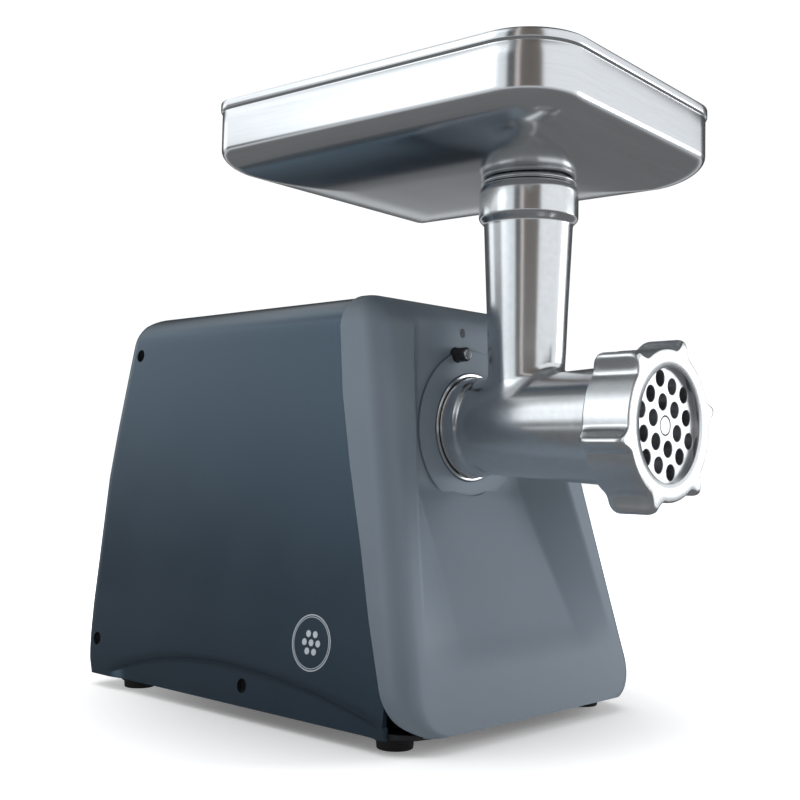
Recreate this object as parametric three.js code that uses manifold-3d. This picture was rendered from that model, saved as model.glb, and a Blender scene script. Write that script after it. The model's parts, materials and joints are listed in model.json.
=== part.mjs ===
// Electric meat grinder, size 8, as an assembly of separate named pieces.
// Millimetres, +Z up, the grinding head points towards -Y.
// The origin is on the table, under the middle of the machine.
import * as THREE from "three";
import { mergeVertices } from "three/addons/utils/BufferGeometryUtils.js";
import Module from "manifold-3d";

const wasm = await Module();
wasm.setup();

// ---- driving dimensions -------------------------------------------------------------------

const GAP = 0.3; // left between two pieces that touch

// The motor body: it narrows upwards on both sides and leans back at the front.
const BODY_BOTTOM = 7.5;
const BODY_TOP = 228.6;
const BODY_HALF_WIDTH = 100.4; // at the bottom
const SIDE_LEAN = 0.11047; // width lost on each side per mm of height
const FRONT_FOOT = -100; // front face at the bottom
const FRONT_LEAN = 0.24; // the front face goes back this much per mm of height
const REAR_LINE = [
  [7.5, 171],
  [11, 174],
  [16, 176],
  [30, 178],
  [49, 179],
  [125, 179],
  [157, 176],
  [197, 171],
  [228.6, 166.6],
]; // height, rear face
const TOP_ROUNDING = 18;
const FRONT_CORNER = 12;
const REAR_CORNER = 9;
const SHELL = 3;
const COVER_PROUD = 1; // the front cover stands this far out of the side panels

// The seam between the side panels and the front cover, from the top down: depth, height.
const SEAM = [
  [-24.5, 234],
  [-24.5, 214],
  [-32.1, 175],
  [-42.6, 138],
  [-56.1, 97],
  [-66.2, 63],
  [-78.5, 28],
  [-85, 16],
  [-95.6, 9.5],
  [-130, 9.5],
];

// The head's axis runs along Y and everything in the drive is set out from it.
const HEAD_Z = 159.46;
const SOCKET_R = 28;
const SOCKET_RING_R = 29.2;
const FACE_Y = -51; // the round socket face of the front cover
const FACE_R = 43;
const TUBE_Y = -88.6; // axis of the upright feed tube
const NUT_FRONT = -176.35;
const NUT_REAR = -149.85;
const PLATE_R = 31;
const PLATE_THICK = 8;
const LIP = 3;
const COLLAR_TOP = 289;

const TRAY_RIM = 338.6;
const TRAY_BOTTOM = 292.2;
const TRAY_FORWARD = 70.9;
const TRAY_REARWARD = 153.4;
const TRAY_HALF = 94.2;
const TRAY_TURN = THREE.MathUtils.degToRad(4.12);
const TRAY_CORNER = { front: 31.6, rear: 17.8 };
const TRAY_EDGE = { width: 60, height: 20.1 }; // the bottom curves up into the walls over this much
const SHEET = 1.2;

// Gear train: teeth, module and face of each mesh, from the spindle to the motor.
const MESHES = [
  { wheel: 40, pinion: 10, module: 1.75, from: 8, to: 24 },
  { wheel: 36, pinion: 9, module: 1.5, from: 27, to: 37 },
  { wheel: 36, pinion: 9, module: 1.25, from: 41, to: 49 },
];
const IDLER_A_X = 6;
const IDLER_B_X = -2;

const FOOT_X = 79.8;
const FOOT_Y = [-71.9, 142.6];
const SIDE_SCREWS = [
  [155.1, 203.2],
  [164, 28.1],
  [26.3, 18.2],
]; // depth, height
const LOCK_X = -13;
const LOCK_Z = 199;

// ---- shape helpers ------------------------------------------------------------------------

// A closed geometry as a solid, with its faces turned outwards.
function solid(geometry) {
  const bare = new THREE.BufferGeometry();
  bare.setAttribute("position", geometry.getAttribute("position"));
  if (geometry.index) bare.setIndex(geometry.index);
  const merged = mergeVertices(bare, 1e-4);
  const triVerts = new Uint32Array(merged.index.array);
  const vertProperties = merged.attributes.position.array;
  const made = new wasm.Manifold(new wasm.Mesh({ numProp: 3, vertProperties, triVerts }));
  if (made.volume() >= 0) return made;
  for (let i = 0; i < triVerts.length; i += 3) {
    const second = triVerts[i + 1];
    triVerts[i + 1] = triVerts[i + 2];
    triVerts[i + 2] = second;
  }
  return new wasm.Manifold(new wasm.Mesh({ numProp: 3, vertProperties, triVerts }));
}

function join(first, ...rest) {
  return rest.reduce((sum, next) => sum.add(next), first);
}

function cut(first, ...rest) {
  return rest.reduce((left, next) => left.subtract(next), first);
}

// An outline drawn in X and Z, made solid between two depths.
function alongY(shape, from, to, curveSegments = 8) {
  const g = new THREE.ExtrudeGeometry(shape, { depth: to - from, bevelEnabled: false, curveSegments });
  g.rotateX(Math.PI / 2);
  g.translate(0, to, 0);
  return solid(g);
}

// An outline drawn in Y and Z, made solid between two widths.
function alongX(shape, from, to, curveSegments = 8) {
  const g = new THREE.ExtrudeGeometry(shape, { depth: to - from, bevelEnabled: false, curveSegments });
  const basis = new THREE.Matrix4().makeBasis(
    new THREE.Vector3(0, 1, 0),
    new THREE.Vector3(0, 0, 1),
    new THREE.Vector3(1, 0, 0),
  );
  g.applyMatrix4(basis);
  g.translate(from, 0, 0);
  return solid(g);
}

function polygon(points) {
  return new THREE.Shape(points.map(([a, b]) => new THREE.Vector2(a, b)));
}

function circle(a, b, r, sides = 0) {
  if (!sides) return new THREE.Shape().absarc(a, b, r, 0, 2 * Math.PI);
  const points = [];
  for (let i = 0; i < sides; i++) {
    const turn = (2 * Math.PI * i) / sides;
    points.push([a + r * Math.cos(turn), b + r * Math.sin(turn)]);
  }
  return polygon(points);
}

function box(x0, x1, y0, y1, z0, z1) {
  const g = new THREE.BoxGeometry(x1 - x0, y1 - y0, z1 - z0);
  g.translate((x0 + x1) / 2, (y0 + y1) / 2, (z0 + z1) / 2);
  return solid(g);
}

// A turned solid about an axis along Y through (x, z); the profile lists radius and depth.
function turnedY(profile, x, z, segments = 24) {
  const points = profile.map(([r, h]) => new THREE.Vector2(r, h));
  const g = new THREE.LatheGeometry(points, segments);
  g.translate(x, 0, z);
  return solid(g);
}

// A turned solid about an upright axis through (x, y); the profile lists radius and height.
function turnedZ(profile, x, y, segments = 24) {
  const points = profile.map(([r, h]) => new THREE.Vector2(r, h));
  const g = new THREE.LatheGeometry(points, segments);
  g.rotateX(Math.PI / 2);
  g.translate(x, y, 0);
  return solid(g);
}

function rodY(r, from, to, x, z, segments = 16) {
  return turnedY([[0, from], [r, from], [r, to], [0, to]], x, z, segments);
}

function ringY(inner, outer, from, to, x, z, segments = 24) {
  return turnedY([[inner, from], [outer, from], [outer, to], [inner, to], [inner, from]], x, z, segments);
}

function rodZ(r, from, to, x, y, segments = 16) {
  return turnedZ([[0, from], [r, from], [r, to], [0, to]], x, y, segments);
}

function rodX(r, from, to, y, z, segments = 12) {
  return alongX(circle(y, z, r, segments), from, to);
}

// A solid through a stack of rings that all have the same number of points.
function loft(rings) {
  const count = rings[0].length;
  const positions = [];
  const index = [];
  rings.forEach((ring) => ring.forEach((p) => positions.push(...p)));
  for (let level = 0; level + 1 < rings.length; level++) {
    for (let i = 0; i < count; i++) {
      const a = level * count + i;
      const b = level * count + ((i + 1) % count);
      index.push(a, b, b + count);
      index.push(a, b + count, a + count);
    }
  }
  const top = (rings.length - 1) * count;
  for (let i = 1; i + 1 < count; i++) {
    index.push(0, i + 1, i);
    index.push(top, top + i, top + i + 1);
  }
  const g = new THREE.BufferGeometry();
  g.setAttribute("position", new THREE.Float32BufferAttribute(positions, 3));
  g.setIndex(index);
  return solid(g);
}

// A rectangle with round corners at one height, as a ring for loft.
function roundedRing(x0, x1, y0, y1, z, frontR, rearR, steps) {
  const ring = [];
  const corners = [
    [x1 - rearR, y1 - rearR, rearR, 0],
    [x0 + rearR, y1 - rearR, rearR, 1],
    [x0 + frontR, y0 + frontR, frontR, 2],
    [x1 - frontR, y0 + frontR, frontR, 3],
  ];
  for (const [cx, cy, r, quarter] of corners) {
    for (let i = 0; i <= steps; i++) {
      const turn = ((quarter + i / steps) * Math.PI) / 2;
      ring.push([cx + r * Math.cos(turn), cy + r * Math.sin(turn), z]);
    }
  }
  return ring;
}

const group = new THREE.Group();

// Finishes: colour, roughness, metalness.
const FINISHES = {
  panel: [0x1c242c, 0.38, 0],
  cover: [0x69727b, 0.45, 0],
  casting: [0xc4c7ca, 0.28, 1],
  stainless: [0xced0d2, 0.24, 1],
  black: [0x0d0d0e, 0.5, 0],
  rubber: [0x141414, 0.85, 0],
  steel: [0x9da1a6, 0.35, 1],
  brass: [0xb8914a, 0.35, 1],
  copper: [0xa8602c, 0.4, 1],
  nylon: [0xd9d6cb, 0.55, 0],
  carbon: [0x26272a, 0.7, 0],
  reset: [0x7c1414, 0.4, 0],
};

// Adds one named piece to the assembly.
function piece(name, shape, finish, parent = group) {
  const made = shape.getMesh();
  const geometry = new THREE.BufferGeometry();
  geometry.setAttribute("position", new THREE.BufferAttribute(new Float32Array(made.vertProperties), 3));
  geometry.setIndex(new THREE.BufferAttribute(made.triVerts, 1));
  geometry.computeVertexNormals();
  const [color, roughness, metalness] = FINISHES[finish];
  const mesh = new THREE.Mesh(geometry, new THREE.MeshStandardMaterial({ color, roughness, metalness }));
  mesh.name = name;
  parent.add(mesh);
}

// ---- motor body ---------------------------------------------------------------------------

function rearFace(z) {
  for (let i = 0; i + 1 < REAR_LINE.length; i++) {
    const [z0, y0] = REAR_LINE[i];
    const [z1, y1] = REAR_LINE[i + 1];
    if (z <= z1) return y0 + ((z - z0) / (z1 - z0)) * (y1 - y0);
  }
  return REAR_LINE[REAR_LINE.length - 1][1];
}

function frontFace(z) {
  return FRONT_FOOT + (z - BODY_BOTTOM) * FRONT_LEAN;
}

function halfWidth(z) {
  return BODY_HALF_WIDTH - (z - BODY_BOTTOM) * SIDE_LEAN;
}

// The body's outer form, or the same form moved inwards by a wall, open at the bottom.
function bodyForm(inset, bottom) {
  const top = BODY_TOP - inset;
  const rounding = TOP_ROUNDING - inset;
  const heights = [bottom, 11, 16, 30, 49, 125, 157, top - rounding];
  const rings = heights.map((z) => [z, inset]);
  for (let i = 1; i <= 4; i++) {
    const turn = (i / 4) * (Math.PI / 2) * 0.98;
    rings.push([top - rounding + rounding * Math.sin(turn), inset + rounding * (1 - Math.cos(turn))]);
  }
  return loft(
    rings.map(([z, side]) => {
      const frontR = Math.max(FRONT_CORNER - side, 4);
      const rearR = Math.max(REAR_CORNER - side, 3);
      const half = halfWidth(z) - side;
      return roundedRing(-half, half, frontFace(z) + side, rearFace(z) - side, z, frontR, rearR, 3);
    }),
  );
}

// The recess round the socket face: a flat floor with sloping sides, deepest at the top.
function scoop(wall) {
  const levels = [
    [34, frontFace(34) + 0.3, 50, 80],
    [62, -81.5, 49, 76],
    [90, -67, 46, 71],
    [120, FACE_Y + 1.5, 43.5, 66],
    [163, FACE_Y + 1.5, 44, 59],
    [204, FACE_Y + 1.5, 40, 50],
  ];
  return loft(
    levels.map(([z, floor, floorHalf, rimHalf]) => {
      const face = frontFace(z);
      const slope = Math.max(face - floor, -30);
      const reach = 25;
      const outHalf = rimHalf + (rimHalf - floorHalf) * (reach / Math.max(-slope, 2));
      const out = Math.min(outHalf, rimHalf + 30) + wall;
      const deep = floor + wall;
      return [
        [-out, face - reach, z],
        [-floorHalf - wall, deep, z],
        [floorHalf + wall, deep, z],
        [out, face - reach, z],
      ];
    }),
  );
}

const seamFront = polygon([...SEAM, [-130, 240], [-24.5, 240]]);
const seamClear = polygon([
  ...SEAM.map(([y, z]) => [y + GAP, z - GAP]),
  [-130, 240],
  [-24.5 + GAP, 240],
]);
const frontBlock = alongX(seamFront, -120, 120);
const frontBlockClear = alongX(seamClear, -120, 120);

function frontCover() {
  const outer = cut(bodyForm(0, BODY_BOTTOM), scoop(0)).add(
    rodY(FACE_R, FACE_Y, FACE_Y + 8, 0, HEAD_Z, 36),
  );
  const inner = cut(bodyForm(SHELL, BODY_BOTTOM - 5), scoop(SHELL)).subtract(
    rodY(FACE_R + SHELL, FACE_Y - 5, FACE_Y + SHELL, 0, HEAD_Z, 36),
  );
  const shell = cut(outer, inner).intersect(frontBlock);
  return cut(
    shell,
    rodY(SOCKET_RING_R + 0.4, -80, 10, 0, HEAD_Z, 36),
    rodY(4.35, -80, 10, LOCK_X, LOCK_Z, 12),
  );
}

// Both side panels are one clamshell, split in the middle; screws sit in wells in its side.
const GLAND_X = -42;
const GLAND_Z = 38;
const VENT = { halfWidth: 38, from: 62, to: 118 };
const SIDE_ANGLE = Math.atan(SIDE_LEAN);
const SWITCH_Y = 92;
const SWITCH_Z = 128;
const SWITCH_HALF_Y = 38;
const SWITCH_HALF_Z = 17;

function tilted(shape) {
  // Moves a piece drawn on a flat upright wall at x = 0 onto the leaning right side wall.
  const x = halfWidth(SWITCH_Z) - COVER_PROUD;
  const place = new THREE.Matrix4().makeRotationY(-SIDE_ANGLE);
  place.setPosition(x, SWITCH_Y, SWITCH_Z);
  return shape.transform(place.elements);
}

function sidePanels() {
  const shell = cut(
    bodyForm(COVER_PROUD, BODY_BOTTOM),
    bodyForm(COVER_PROUD + SHELL, BODY_BOTTOM - 5),
    frontBlockClear,
  );
  const bosses = [];
  const wells = [];
  for (const [y, z] of SIDE_SCREWS) {
    const face = halfWidth(z) - COVER_PROUD;
    for (const side of [-1, 1]) {
      const span = (from, to) => [Math.min(side * from, side * to), Math.max(side * from, side * to)];
      bosses.push(rodX(5.4, ...span(face - 14, face - 1.5), y, z, 12));
      wells.push(rodX(3.8, ...span(face - 9, face + 5), y, z, 12));
      wells.push(rodX(2.2, ...span(face - 20, face), y, z, 8));
    }
  }
  const inside = bodyForm(COVER_PROUD + 0.5, BODY_BOTTOM);
  const kept = bosses.map((boss) => boss.intersect(inside));
  return cut(
    join(shell, ...kept),
    ...wells,
    box(-VENT.halfWidth, VENT.halfWidth, 165, 190, VENT.from, VENT.to),
    rodY(6.5, 160, 190, GLAND_X, GLAND_Z, 12),
    tilted(box(-12, 12, -SWITCH_HALF_Y + 3, SWITCH_HALF_Y - 3, -SWITCH_HALF_Z + 3, SWITCH_HALF_Z - 3)),
  );
}

const panels = sidePanels();
piece("housing_left", panels.intersect(box(-120, -GAP / 2, -140, 200, 0, 240)), "panel");
piece("housing_right", panels.intersect(box(GAP / 2, 120, -140, 200, 0, 240)), "panel");
piece("front_cover", frontCover(), "cover");

// Base plate with cooling slots, closed from below, held with the feet.
function basePlate() {
  const z0 = BODY_BOTTOM + GAP;
  const z1 = z0 + 2.5;
  const half = halfWidth(z1) - COVER_PROUD - SHELL - 0.8;
  const front = frontFace(z1) + SHELL + 1.5;
  const rear = REAR_LINE[0][1] - COVER_PROUD - SHELL - 2.5;
  const plate = loft([z0, z1].map((z) => roundedRing(-half, half, front, rear, z, 16, 12, 3)));
  const slots = [];
  for (let i = 0; i < 6; i++) {
    const y = 40 + i * 14;
    slots.push(box(-40, 40, y, y + 5, z0 - 2, z1 + 2));
  }
  const holes = FOOT_Y.flatMap((y) => [-1, 1].map((s) => rodZ(2.5, z0 - 2, z1 + 2, s * FOOT_X, y, 10)));
  const wells = SIDE_SCREWS.flatMap(([y, z]) =>
    [-1, 1].map((s) => box(s * 85 - 12, s * 85 + 12, y - 7, y + 7, z0 - 2, z < 22 ? z1 + 2 : z0 - 1)),
  );
  return cut(plate, ...slots, ...holes, ...wells);
}
piece("base_plate", basePlate(), "black");

// Four rubber feet, each on its own screw through the base plate.
const footProfile = [
  [2.6, 3.6],
  [4.8, 3.6],
  [4.8, 0],
  [9, 0],
  [11, BODY_BOTTOM],
  [2.6, BODY_BOTTOM],
  [2.6, 3.6],
];
const footScrewProfile = [
  [0, 1],
  [4, 1],
  [4, 3.3],
  [2, 3.3],
  [2, 14],
  [0, 14],
];
const footPlaces = [
  ["front_left", -1, FOOT_Y[0]],
  ["front_right", 1, FOOT_Y[0]],
  ["rear_left", -1, FOOT_Y[1]],
  ["rear_right", 1, FOOT_Y[1]],
];
for (const [place, side, y] of footPlaces) {
  piece("foot_" + place, turnedZ(footProfile, side * FOOT_X, y, 16), "rubber");
  piece("foot_screw_" + place, turnedZ(footScrewProfile, side * FOOT_X, y, 8), "steel");
}

// Three screws on each side, down in their wells.
SIDE_SCREWS.forEach(([y, z], i) => {
  const face = halfWidth(z) - COVER_PROUD;
  for (const [word, side] of [["left", -1], ["right", 1]]) {
    const at = (from, to) => [Math.min(side * from, side * to), Math.max(side * from, side * to)];
    const screw = join(
      rodX(3.4, ...at(face - 8.6, face - 6), y, z, 10),
      rodX(1.8, ...at(face - 19, face - 8), y, z, 6),
    );
    const recess = box(...at(face - 7.2, face - 5), y - 0.5, y + 0.5, z - 2, z + 2);
    piece("housing_screw_" + word + "_" + (i + 1), cut(screw, recess), "black");
  }
});

// Slotted grille in the back wall, over the fan.
function rearVent() {
  const { halfWidth: half, from, to } = VENT;
  const frame = box(-half + GAP, half - GAP, 174.6, 178.1, from + GAP, to - GAP);
  const slots = [];
  for (let i = 0; i < 7; i++) {
    const z = from + 7 + i * 6.6;
    slots.push(box(-half + 6, half - 6, 170, 185, z, z + 3));
  }
  return cut(frame, ...slots);
}
piece("rear_vent", rearVent(), "black");

// Round bush in the back wall where the supply lead goes in.
const glandProfile = [
  [3.7, 168],
  [6.2, 168],
  [6.2, 178.4],
  [9, 178.4],
  [8.2, 179.6],
  [3.7, 179.6],
  [3.7, 168],
];
piece("cord_inlet", turnedY(glandProfile, GLAND_X, GLAND_Z, 14), "black");

// ---- switch panel on the right side -----------------------------------------------------------

const ROCKERS = { power_rocker: -19, reverse_rocker: 4 };
const ROCKER_HALF = 7.5;
const ROCKER_PIVOT = -3;
const ROCKER_REST = THREE.MathUtils.degToRad(8);
const RESET_Y = 25;

function switchBezel() {
  const lip = box(0.4, 2.2, -SWITCH_HALF_Y, SWITCH_HALF_Y, -SWITCH_HALF_Z, SWITCH_HALF_Z);
  const inset = 3.4;
  const plug = box(
    -6, 0.5,
    -SWITCH_HALF_Y + inset, SWITCH_HALF_Y - inset,
    -SWITCH_HALF_Z + inset, SWITCH_HALF_Z - inset,
  );
  const windows = Object.values(ROCKERS).map((y) =>
    box(-10, 6, y - ROCKER_HALF - 0.4, y + ROCKER_HALF + 0.4, -10.4, 10.4),
  );
  return cut(join(lip, plug), ...windows, rodX(4.5, -10, 6, RESET_Y, 0, 12));
}
piece("switch_bezel", tilted(switchBezel()), "black");

// A rocker tips about its middle; at rest its lower half is in.
function rocker(y) {
  const profile = [
    [-6, -5],
    [0, -9],
    [2.6, -9],
    [1.3, 0],
    [2.6, 9],
    [0, 9],
    [-6, 5],
  ];
  const c = Math.cos(ROCKER_REST);
  const s = Math.sin(ROCKER_REST);
  const turned = profile.map(([x, z]) => {
    const dx = x - ROCKER_PIVOT;
    return [ROCKER_PIVOT + dx * c + z * s, -dx * s + z * c];
  });
  return alongY(polygon(turned), y - ROCKER_HALF, y + ROCKER_HALF);
}
for (const [name, y] of Object.entries(ROCKERS)) {
  piece(name, tilted(rocker(y)), "black");
}
piece("reset_button", tilted(rodX(4, -8, 3.6, RESET_Y, 0, 12)), "reset");

// ---- gearbox -----------------------------------------------------------------------------------

// Where each shaft stands, from the spindle down to the motor.
const distances = MESHES.map((m) => ((m.wheel + m.pinion) * m.module) / 2);
const spindleAt = [0, HEAD_Z];
const idlerA = [IDLER_A_X, HEAD_Z - Math.sqrt(distances[0] ** 2 - IDLER_A_X ** 2)];
const idlerStep = IDLER_B_X - IDLER_A_X;
const idlerB = [IDLER_B_X, idlerA[1] - Math.sqrt(distances[1] ** 2 - idlerStep ** 2)];
const motorAt = [0, idlerB[1] - Math.sqrt(distances[2] ** 2 - IDLER_B_X ** 2)];

// A toothed wheel; phase is the angle of one tooth, from +X towards +Z.
function gear(teeth, module, from, to, [x, z], phase) {
  const pitch = (teeth * module) / 2;
  const step = (2 * Math.PI) / teeth;
  const root = pitch - 1.15 * module;
  const tip = pitch + 0.85 * module;
  const points = [];
  for (let i = 0; i < teeth; i++) {
    const middle = phase + i * step;
    for (const [r, share] of [[root, -0.3], [tip, -0.1], [tip, 0.1], [root, 0.3]]) {
      const turn = middle + share * step;
      points.push([x + r * Math.cos(turn), z + r * Math.sin(turn)]);
    }
  }
  return alongY(polygon(points), from, to);
}

function bearing([x0, z0], [x1, z1]) {
  return Math.atan2(z1 - z0, x1 - x0);
}

// A wheel shows a tooth to its neighbour, and the pinion there shows a gap.
function wheelFor(mesh, at, neighbour) {
  return gear(mesh.wheel, mesh.module, mesh.from, mesh.to, at, bearing(at, neighbour));
}
function pinionFor(mesh, at, neighbour) {
  const half = Math.PI / mesh.pinion;
  return gear(mesh.pinion, mesh.module, mesh.from - 0.5, mesh.to + 0.5, at, bearing(at, neighbour) + half);
}

const DRIVE_SQUARE = 10;
const squareHole = box(
  -DRIVE_SQUARE / 2 - 0.2, DRIVE_SQUARE / 2 + 0.2,
  -30, -1,
  HEAD_Z - DRIVE_SQUARE / 2 - 0.2, HEAD_Z + DRIVE_SQUARE / 2 + 0.2,
);
const spindle = turnedY(
  [[0, -22], [9.6, -22], [9.6, 30], [6, 30], [6, 57.6], [0, 57.6]],
  0, HEAD_Z, 16,
);
piece("output_gear", cut(join(spindle, wheelFor(MESHES[0], spindleAt, idlerA)), squareHole), "steel");
piece(
  "idler_gear_a",
  join(
    pinionFor(MESHES[0], idlerA, spindleAt),
    wheelFor(MESHES[1], idlerA, idlerB),
    rodY(4, 1.2, 57.6, ...idlerA, 10),
  ),
  "steel",
);
piece(
  "idler_gear_b",
  join(
    pinionFor(MESHES[1], idlerB, idlerA),
    wheelFor(MESHES[2], idlerB, motorAt),
    rodY(3.5, 1.2, 57.6, ...idlerB, 10),
  ),
  "nylon",
);

// An upright slot outline with a large upper and a smaller lower end.
function gearboxOutline(grow) {
  const shape = new THREE.Shape();
  const upper = 38.2 + grow;
  const lower = 36 + grow;
  shape.absarc(0, HEAD_Z, upper, 0, Math.PI, false);
  shape.absarc(0, 75, lower, Math.PI, 2 * Math.PI, false);
  return shape;
}
const GEARBOX_FRONT = -6;
const GEARBOX_REAR = 54;

function gearboxHousing() {
  const tongueSlot = box(LOCK_X - 4, LOCK_X + 12, -40, -29, HEAD_Z + 20, HEAD_Z + 40);
  const outer = join(
    alongY(gearboxOutline(3), GEARBOX_FRONT, GEARBOX_REAR, 8),
    ringY(SOCKET_R, 31.5, FACE_Y + 5.5, GEARBOX_FRONT + 1, 0, HEAD_Z, 28),
    rodY(8, GEARBOX_FRONT, -1, LOCK_X, LOCK_Z, 12),
  );
  const hollow = alongY(gearboxOutline(0), -1, GEARBOX_REAR + 5, 8);
  const seats = join(
    ringY(14.3, 18, -2, 6.5, 0, HEAD_Z, 16),
    rodY(7, -2, 5, ...idlerA, 12),
    rodY(6.5, -2, 5, ...idlerB, 12),
  );
  return cut(
    join(cut(outer, hollow), seats),
    rodY(14.3, -10, 8, 0, HEAD_Z, 16),
    rodY(4.4, 0, 8, ...idlerA, 10),
    rodY(3.9, 0, 8, ...idlerB, 10),
    tongueSlot,
  );
}
piece("gearbox_housing", gearboxHousing(), "casting");
piece("spindle_bearing", ringY(9.9, 13.9, -5.7, 6.2, 0, HEAD_Z, 16), "brass");

function gearboxCover() {
  const plate = alongY(gearboxOutline(3), GEARBOX_REAR + GAP, GEARBOX_REAR + 6.5, 8);
  return cut(
    plate,
    rodY(6.4, 50, 58.5, 0, HEAD_Z, 12),
    rodY(4.4, 50, 58.5, ...idlerA, 10),
    rodY(3.9, 50, 58.5, ...idlerB, 10),
    rodY(7, 50, 62, ...motorAt, 12),
  );
}
piece("gearbox_cover", gearboxCover(), "casting");

// Polished ring round the mouth of the socket.
piece("socket_ring", ringY(SOCKET_R, SOCKET_RING_R, FACE_Y - 0.6, FACE_Y + 5.2, 0, HEAD_Z, 28), "stainless");

// ---- motor ----------------------------------------------------------------------------------------

const STATOR = { from: 74, to: 122, outer: 40, bore: 23 };

// A piece of a thick ring, drawn round the motor's axis.
function arcShape(inner, outer, startDeg, endDeg) {
  const start = THREE.MathUtils.degToRad(startDeg);
  const end = THREE.MathUtils.degToRad(endDeg);
  const shape = new THREE.Shape();
  shape.absarc(...motorAt, outer, start, end, false);
  shape.absarc(...motorAt, inner, end, start, true);
  return shape;
}

function stator() {
  const core = ringY(STATOR.bore, STATOR.outer, STATOR.from, STATOR.to, ...motorAt, 24);
  const slots = [50, 230].map((start) =>
    alongY(arcShape(27, 36, start, start + 80), STATOR.from - 2, STATOR.to + 2, 4),
  );
  return cut(core, ...slots);
}
piece("motor_stator", stator(), "steel");
for (const [word, start] of [["upper", 52], ["lower", 232]]) {
  const coil = alongY(arcShape(27.5, 35.5, start, start + 76), STATOR.from - 5, STATOR.to + 5, 4);
  piece("field_coil_" + word, coil, "copper");
}

// Two cross bars carry the shaft bearings and are drawn together by two long bolts.
const BRACKETS = [
  ["front", 63, 67],
  ["rear", 146, 150],
];
const BOLT_X = 43.5;
for (const [word, from, to] of BRACKETS) {
  const bar = box(-48, 48, from, to, motorAt[1] - 11, motorAt[1] + 11);
  const holes = [-1, 1].map((s) => rodY(2.2, from - 2, to + 2, s * BOLT_X, motorAt[1], 8));
  piece(
    "motor_bracket_" + word,
    cut(bar, ...holes, rodY(8.4, from - 2, to + 2, ...motorAt, 14)),
    "casting",
  );
  piece("motor_bearing_" + word, ringY(4.3, 8, from - 0.2, to + 0.2, ...motorAt, 14), "steel");
}
for (const [word, side] of [["left", -1], ["right", 1]]) {
  const bolt = join(
    rodY(1.9, 60.5, 155, side * BOLT_X, motorAt[1], 8),
    rodY(3.6, 152, 155.4, side * BOLT_X, motorAt[1], 6),
  );
  piece("motor_bolt_" + word, bolt, "steel");
}

function armatureCore() {
  const slots = 10;
  const points = [];
  for (let i = 0; i < slots; i++) {
    const middle = (2 * Math.PI * i) / slots;
    for (const [r, deg] of [[14, -17.5], [14, -8], [21.5, -12], [21.5, 12], [14, 8]]) {
      const turn = middle + THREE.MathUtils.degToRad(deg);
      points.push([motorAt[0] + r * Math.cos(turn), motorAt[1] + r * Math.sin(turn)]);
    }
  }
  return cut(
    alongY(polygon(points), STATOR.from + 1, STATOR.to - 1),
    rodY(4.4, STATOR.from - 5, STATOR.to + 5, ...motorAt, 10),
  );
}
piece("armature_core", armatureCore(), "steel");
piece("commutator", ringY(4.4, 11, 128, 141, ...motorAt, 16), "copper");
piece(
  "armature_shaft",
  join(rodY(4, 45, 165, ...motorAt, 10), pinionFor(MESHES[2], motorAt, idlerB)),
  "steel",
);

// Each carbon brush stands in its holder and rests on the commutator.
for (const [word, side] of [["left", -1], ["right", 1]]) {
  const span = (from, to) => [Math.min(side * from, side * to), Math.max(side * from, side * to)];
  const z = motorAt[1];
  piece("brush_" + word, box(...span(11.3, 26), 132, 138, z - 3.5, z + 3.5), "carbon");
  const holder = box(...span(14, 34), 129.5, 145.7, z - 6, z + 6);
  const channel = box(...span(10, 30), 131.7, 138.3, z - 3.8, z + 3.8);
  piece("brush_holder_" + word, cut(holder, channel), "brass");
}

function coolingFan() {
  const blades = [];
  for (let i = 0; i < 9; i++) {
    const blade = new THREE.BoxGeometry(21, 8, 1.6);
    blade.translate(18.5, 160, 0);
    blade.rotateY((2 * Math.PI * i) / 9);
    blade.translate(motorAt[0], 0, motorAt[1]);
    blades.push(solid(blade));
  }
  const hub = ringY(4.4, 9, 156, 164.5, ...motorAt, 14);
  const disc = ringY(6, 30, 155.8, 157.4, ...motorAt, 20);
  return join(hub, disc, ...blades);
}
piece("cooling_fan", coolingFan(), "black");

// ---- head lock ------------------------------------------------------------------------------------

// The button's stem carries a tongue that points at the neck of the head.
function lockButton() {
  const stem = turnedY(
    [[0, -58.6], [3.2, -58.6], [4, -57.8], [4, -30], [0, -30]],
    LOCK_X, LOCK_Z, 12,
  );
  const reach = Math.hypot(LOCK_X, LOCK_Z - HEAD_Z);
  const tongue = new THREE.BoxGeometry(reach - SOCKET_R - 0.6, 3, 6);
  tongue.translate((reach + SOCKET_R + 0.6) / 2, -36.5, 0);
  tongue.rotateY(-Math.atan2(LOCK_Z - HEAD_Z, LOCK_X));
  tongue.translate(0, 0, HEAD_Z);
  return join(stem, solid(tongue));
}
piece("lock_button", lockButton(), "black");

class Helix extends THREE.Curve {
  constructor(radius, turns, from, to) {
    super();
    Object.assign(this, { radius, turns, from, to });
  }
  getPoint(t, target = new THREE.Vector3()) {
    const turn = 2 * Math.PI * this.turns * t;
    return target.set(
      LOCK_X + this.radius * Math.cos(turn),
      this.from + (this.to - this.from) * t,
      LOCK_Z + this.radius * Math.sin(turn),
    );
  }
}
const springPath = new Helix(3, 5, -28.8, -7.2);
const springWire = new THREE.ExtrudeGeometry(circle(0, 0, 0.5, 4), {
  steps: 40,
  bevelEnabled: false,
  extrudePath: springPath,
});
piece("lock_spring", solid(springWire), "steel");

// ---- grinder head ----------------------------------------------------------------------------------

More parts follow.
